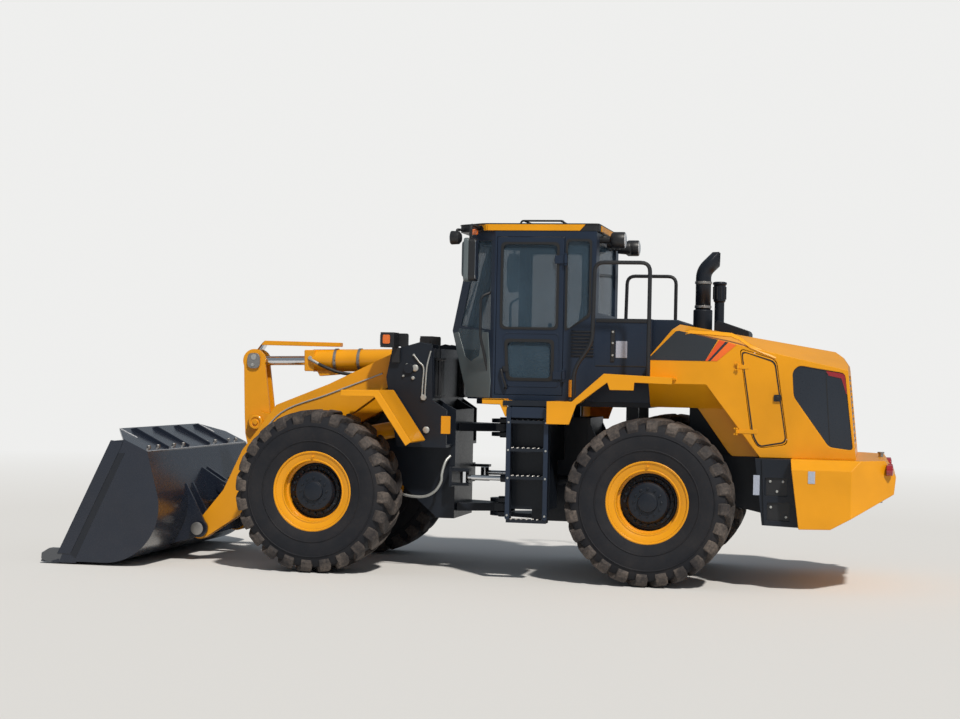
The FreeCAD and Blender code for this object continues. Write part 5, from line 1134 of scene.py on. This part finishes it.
def make_hood_trim():
    decal = Build()
    decal.prism("Y", [(-1.625, 2.205), (-1.867, 2.452), (-1.900, 2.458), (-2.273, 2.376), (-2.153, 2.170),
                      (-1.625, 2.170)], 0.9795, 0.9825)
    decal.both()
    decal.done("hood_decals", paint_decal, "rear_frame", "dark_paint")
    red = Build()
    red.prism("Y", [(-2.153, 2.170), (-2.284, 2.374), (-2.345, 2.360), (-2.178, 2.170)], 0.9795, 0.9826)
    red.both()
    red.done("hood_red_stripes", paint_red, "rear_frame", "yellow_paint")
    line = Build()
    line.prism("Y", [(-2.178, 2.170), (-2.345, 2.360), (-2.372, 2.354), (-2.204, 2.170)], 0.9795, 0.9826)
    line.both()
    line.done("hood_dark_stripes", paint_decal, "rear_frame", "dark_paint")
    orange = Build()
    orange.prism("Y", [(-2.204, 2.170), (-2.372, 2.354), (-2.452, 2.330), (-2.268, 2.170)], 0.9795, 0.9826)
    orange.both()
    orange.done("hood_orange_stripes", paint_orange, "rear_frame", "yellow_paint")
    ridge = Build()
    rows = []
    for x, z, out in ((-1.960, 2.440, 0.000), (-2.003, 2.450, 0.008), (-2.200, 2.440, 0.016), (-2.400, 2.425, 0.020),
                      (-2.480, 2.392, 0.020), (-2.585, 2.318, 0.014), (-2.694, 2.272, 0.008), (-2.829, 2.220, 0.0)):
        rows.append([(x, 0.972, z - 0.022), (x, 0.985 + out * 0.3, z - 0.016), (x, 0.972 - out, z + 0.022)])
    ridge.loops(rows)
    ridge.both()
    ridge.done("hood_raised_creases", paint_yellow, "rear_frame", "yellow_paint", smooth=True)
    panel = Build()
    panel.prism("Y", rounded(SIDE_GRILLE, 0.04), 0.960, 0.969)
    panel.both()
    panel.done("hood_side_screens", grille_dark, "rear_frame", "dark_paint")
    lamps = Build()
    lamps.prism("Y", [(-3.300, 2.096), (-3.325, 2.052), (-3.445, 2.028), (-3.492, 1.880), (-3.512, 1.880),
                      (-3.476, 2.072)], 0.966, 0.974)
    lamps.both()
    lamps.done("rear_corner_lamps", lens_red, "rear_frame", "black_plastic", bevel=0.002)
    seam = Build()
    seam.prism("Y", [(-3.296, 2.085), (-3.304, 2.085), (-3.352, 1.400), (-3.344, 1.400)], 0.966, 0.9705)
    seam.both()
    seam.done("hood_screen_seams", seal, "rear_frame", "dark_paint")


def make_lid_trim():
    for label, sign in (("left", 1), ("right", -1)):
        low, high = sorted((0.978 * sign, 0.9825 * sign))
        gasket = Build()
        outline = [(-2.496, 2.276), (-2.826, 2.180), (-2.944, 1.402), (-2.676, 1.352), (-2.617, 1.462)]
        gasket.frame("Y", rounded(outline, 0.05, steps=5), low, high, 0.012)
        gasket.done(f"lid_{label}_gasket", seal, f"hood_door_{label}", "black_plastic")
        latch = Build()
        near, far = sorted((0.979 * sign, 0.997 * sign))
        latch.prism("Y", rounded([(-2.885, 1.795), (-2.815, 1.795), (-2.815, 1.860), (-2.885, 1.860)], 0.012), near, far)
        latch.stud("Y", (-2.850, 1.828), 0.018, 0.996 * sign, 1.006 * sign, sides=16)
        latch.done(f"lid_{label}_latch", plastic, f"hood_door_{label}", "black_plastic", bevel=0.003)


def make_counterweight_trim():
    pale = Build()
    pale.block((-3.225, -3.160), (1.248, 1.2535), (1.035, 1.150))
    pale.block((-2.700, -2.640), (1.048, 1.0535), (0.900, 1.090))
    pale.both()
    pale.done("pale_reflectors", label_pale, "rear_frame", "dark_paint")
    lamps = Build()
    for y in (0.60, 0.92):
        lamps.lathe("X", (y, 1.165), [(0.052, -3.880), (0.052, -3.935), (0.040, -3.942), (0.001, -3.944)], steps=32)
    lamps.both()
    lamps.done("counterweight_lamps", lens_red, "rear_frame", "black_plastic", smooth=True)
    boxes = Build()
    for x, z in ((-2.920, 1.035), (-2.800, 1.035), (-2.865, 0.940), (-2.955, 0.700), (-2.810, 0.790)):
        boxes.stud("Y", (x, z), 0.013, 1.050, 1.062, sides=10)
    boxes.both()
    boxes.done("side_box_bolts", zinc, "rear_frame", "dark_paint")


def make_exhaust_trim():
    clamps = Build()
    for z in (2.715, 2.960):
        ring = [(0.079, z), (0.086, z + 0.002), (0.086, z + 0.026), (0.079, z + 0.028)]
        clamps.lathe("Z", (-2.035, 0), ring, steps=40, closed=True)
    clamps.stud("Y", (-2.035, 2.729), 0.012, 0.080, 0.104)
    clamps.done("exhaust_clamps", steel, "rear_frame", "dark_paint", smooth=True)
    vents = Build()
    for i in range(10):
        turn = 2 * math.pi * i / 10
        x = -2.183 + 0.0635 * math.cos(turn)
        y = -0.220 + 0.0635 * math.sin(turn)
        vents.block((x - 0.006, x + 0.006), (y - 0.006, y + 0.006), (2.815, 2.945))
    vents.done("air_cleaner_ribs", plastic, "rear_frame", "black_plastic")


# Cab inside

def cushion(name, centre, size, tilt, channels):
    """A crowned pad with drawn-in sides and sewn channels, tilted about Y by tilt degrees."""
    bm = bmesh.new()
    bmesh.ops.create_cube(bm, size=2.0)
    bmesh.ops.subdivide_edges(bm, edges=bm.edges[:], cuts=17, use_grid_fill=True)
    for vert in bm.verts:
        x, y, z = vert.co
        across = max(abs(x), abs(y))
        thick = (1 - min(1.0, across) ** 6 * 0.55)
        pull = 1 - 0.05 * (1 - abs(z)) * 0.0 - 0.06 * abs(z) ** 4
        crown = 0.22 * (1 - x * x) * (1 - y * y)
        seam = 0.0
        for line in channels:
            seam += 0.16 * math.exp(-((y - line) / 0.045) ** 2)
        welt = 0.06 * math.exp(-((across - 0.93) / 0.03) ** 2)
        top = z * thick + (crown - seam - welt if z > 0 else -0.02 * crown)
        vert.co = Vector((x * pull * size[0] / 2, y * pull * size[1] / 2, top * size[2] / 2))
    bmesh.ops.recalc_face_normals(bm, faces=bm.faces)
    mesh = bpy.data.meshes.new(name)
    bm.to_mesh(mesh)
    bm.free()
    mesh.transform(Matrix.Rotation(math.radians(tilt), 4, "Y"))
    mesh.transform(Matrix.Translation((H + centre[0], centre[1], centre[2])))
    mesh.shade_smooth()
    thing = piece(name, mesh, cloth, "rear_frame")
    smooth = thing.modifiers.new("smooth", "SUBSURF")
    smooth.levels = 1
    smooth.render_levels = 1
    return thing


def make_cab_inside():
    base = Build()
    base.prism("Y", rounded([(-0.730, 1.795), (-0.390, 1.795), (-0.420, 2.080), (-0.700, 2.080)], 0.04), -0.165, 0.165)
    base.block((-0.800, -0.330), (-0.240, 0.240), (2.075, 2.120))
    base.prism("Y", rounded([(-0.890, 2.120), (-0.850, 2.120), (-0.900, 2.840), (-0.935, 2.840)], 0.015), -0.200, 0.200)
    for y in (-0.270, 0.270):
        base.tube([(-0.860, y, 2.300), (-0.800, y, 2.350), (-0.460, y, 2.345)], 0.022)
    base.done("seat_base", plastic, "rear_frame", "black_plastic", ["cab_interior"], bevel=0.006)
    cushion("seat_cushion", (-0.560, 0, 2.185), (0.50, 0.50, 0.13), 4, (-0.5, 0.5))
    cushion("seat_back", (-0.840, 0, 2.520), (0.60, 0.48, 0.12), 84, (-0.45, 0.45))
    cushion("head_rest", (-0.870, 0, 2.910), (0.15, 0.28, 0.09), 84, ())
    arms = [cushion(f"arm_rest_{label}", (-0.600, y, 2.375), (0.30, 0.07, 0.05), 0, ())
            for label, y in (("left", 0.270), ("right", -0.270))]
    for arm in arms:
        arm.data.materials.clear()
        arm.data.materials.append(plastic)
    column = Build()
    column.tube([(0.090, 0, 1.800), (0.050, 0, 2.050), (-0.030, 0, 2.380)], 0.045)
    column.prism("Y", rounded([(-0.010, 1.800), (0.200, 1.800), (0.240, 2.200), (0.120, 2.330), (0.000, 2.280)], 0.05),
                 -0.155, 0.155)
    column.block((-0.020, 0.075), (-0.130, 0.130), (2.280, 2.420))
    column.done("steering_column", plastic, "rear_frame", "black_plastic", bevel=0.006)
    wheel = Build()
    rows = []
    for i in range(48):
        turn = 2 * math.pi * i / 48
        row = []
        for k in range(10):
            bend = 2 * math.pi * k / 10
            r = 0.190 + 0.014 * math.cos(bend)
            row.append((r * math.cos(turn), r * math.sin(turn), 0.014 * math.sin(bend)))
        rows.append(row)
    wheel.loops(rows, along=True)
    for turn in (0.5, 2.6, 4.7):
        wheel.tube([(0.02 * math.cos(turn), 0.02 * math.sin(turn), -0.02),
                    (0.185 * math.cos(turn), 0.185 * math.sin(turn), 0.0)], 0.010, smooth=False)
    wheel.lathe("Z", (0, 0), [(0.001, 0.005), (0.045, 0.0), (0.050, -0.030), (0.020, -0.060)], steps=24)
    for vert in wheel.bm.verts:
        vert.co = Matrix.Rotation(math.radians(-22), 3, "Y") @ vert.co + Vector((-0.070, 0, 2.440))
    wheel.done("steering_wheel", plastic, "rear_frame", "black_plastic", smooth=True)
    levers = Build()
    for y in (-0.36, -0.32, -0.28):
        levers.tube([(-0.420, y, 2.345), (-0.400, y, 2.430), (-0.405, y, 2.500)], 0.007)
        levers.lathe("Z", (-0.405, y), [(0.008, 2.490), (0.016, 2.505), (0.017, 2.535), (0.006, 2.550)], steps=16)
    levers.prism("Y", rounded([(-0.620, 2.200), (-0.340, 2.200), (-0.340, 2.350), (-0.620, 2.330)], 0.03), -0.390,
                 -0.245)
    levers.done("loader_levers", plastic, "rear_frame", "black_plastic", bevel=0.003)
    shelf = Build()
    shelf.block((-1.000, -0.905), (-0.600, 0.600), (1.800, 2.330))
    shelf.done("cab_rear_shelf", plastic, "rear_frame", "black_plastic", bevel=0.01)


# Stage, light and camera

def make_stage():
    bm = bmesh.new()
    bmesh.ops.create_circle(bm, cap_ends=True, radius=90, segments=96)
    mesh = bpy.data.meshes.new("floor")
    bm.to_mesh(mesh)
    bm.free()
    floor = bpy.data.objects.new("floor", mesh)
    bpy.context.scene.collection.objects.link(floor)
    n = Nodes("floor")
    n.shader.inputs["Base Color"].default_value = (0.72, 0.71, 0.70, 1)
    n.shader.inputs["Roughness"].default_value = 0.9
    glow = n.add("ShaderNodeEmission")
    glow.inputs["Color"].default_value = BACKGROUND
    distance = n.add("ShaderNodeVectorMath", operation="LENGTH")
    n.link(n.place, "Object", distance, 0)
    fade = n.spread(distance, "Value", 9.0, 26.0)
    blend = n.add("ShaderNodeMixShader")
    n.link(fade, "Result", blend, 0)
    n.link(n.shader, "BSDF", blend, 1)
    n.link(glow, "Emission", blend, 2)
    n.link(blend, "Shader", n.output, "Surface")
    floor.data.materials.append(n.material)


def make_light():
    world = bpy.data.worlds.new("studio")
    bpy.context.scene.world = world
    world.use_nodes = True
    tree = world.node_tree
    tree.nodes.clear()
    output = tree.nodes.new("ShaderNodeOutputWorld")
    mix = tree.nodes.new("ShaderNodeMixShader")
    soft = tree.nodes.new("ShaderNodeBackground")
    soft.inputs["Color"].default_value = (0.80, 0.90, 1.0, 1)
    soft.inputs["Strength"].default_value = 0.30
    seen = tree.nodes.new("ShaderNodeBackground")
    seen.inputs["Color"].default_value = BACKGROUND
    path = tree.nodes.new("ShaderNodeLightPath")
    add = tree.nodes.new("ShaderNodeMath")
    add.operation = "MAXIMUM"
    tree.links.new(path.outputs["Is Camera Ray"], add.inputs[0])
    tree.links.new(path.outputs["Is Transmission Ray"], add.inputs[1])
    tree.links.new(add.outputs[0], mix.inputs[0])
    tree.links.new(soft.outputs[0], mix.inputs[1])
    tree.links.new(seen.outputs[0], mix.inputs[2])
    tree.links.new(mix.outputs[0], output.inputs[0])
    lamp = bpy.data.lights.new("sun", "SUN")
    lamp.energy = 3.2
    lamp.angle = math.radians(3)
    lamp.color = (1.0, 0.95, 0.87)
    sun = bpy.data.objects.new("sun", lamp)
    sun.rotation_euler = Vector((0.55, -0.75, -1.15)).to_track_quat("-Z", "Y").to_euler()
    bpy.context.scene.collection.objects.link(sun)


def make_camera():
    data = bpy.data.cameras.new("camera")
    data.lens = CAMERA_LENS
    data.sensor_width = 36
    data.clip_end = 300
    forward = Vector((math.sin(CAMERA_YAW) * math.cos(CAMERA_PITCH), -math.cos(CAMERA_YAW) * math.cos(CAMERA_PITCH),
                      math.sin(CAMERA_PITCH)))
    right = forward.cross(Vector((0, 0, 1))).normalized()
    up = right.cross(forward)
    across = right * math.cos(CAMERA_ROLL) + up * math.sin(CAMERA_ROLL)
    above = up * math.cos(CAMERA_ROLL) - right * math.sin(CAMERA_ROLL)
    turn = Matrix((across, above, -forward)).transposed().to_4x4()
    camera = bpy.data.objects.new("camera", data)
    camera.matrix_world = Matrix.Translation(CAMERA_PLACE) @ turn
    bpy.context.scene.collection.objects.link(camera)
    bpy.context.scene.camera = camera


make_bucket_trim()
make_linkage_trim()
make_tilt_cylinder_trim()
make_tower_trim()
make_cab_trim()
make_roof()
make_rails()
make_lamps_and_mirrors()
make_ac_box_trim()
make_step_trim()
make_hood()
make_exhaust()
make_counterweight()
make_fender_lips()
make_hood_trim()
make_lid_trim()
make_counterweight_trim()
make_exhaust_trim()
make_cab_inside()
make_stage()
make_light()
make_camera()
bpy.context.scene.view_settings.view_transform = "Standard"
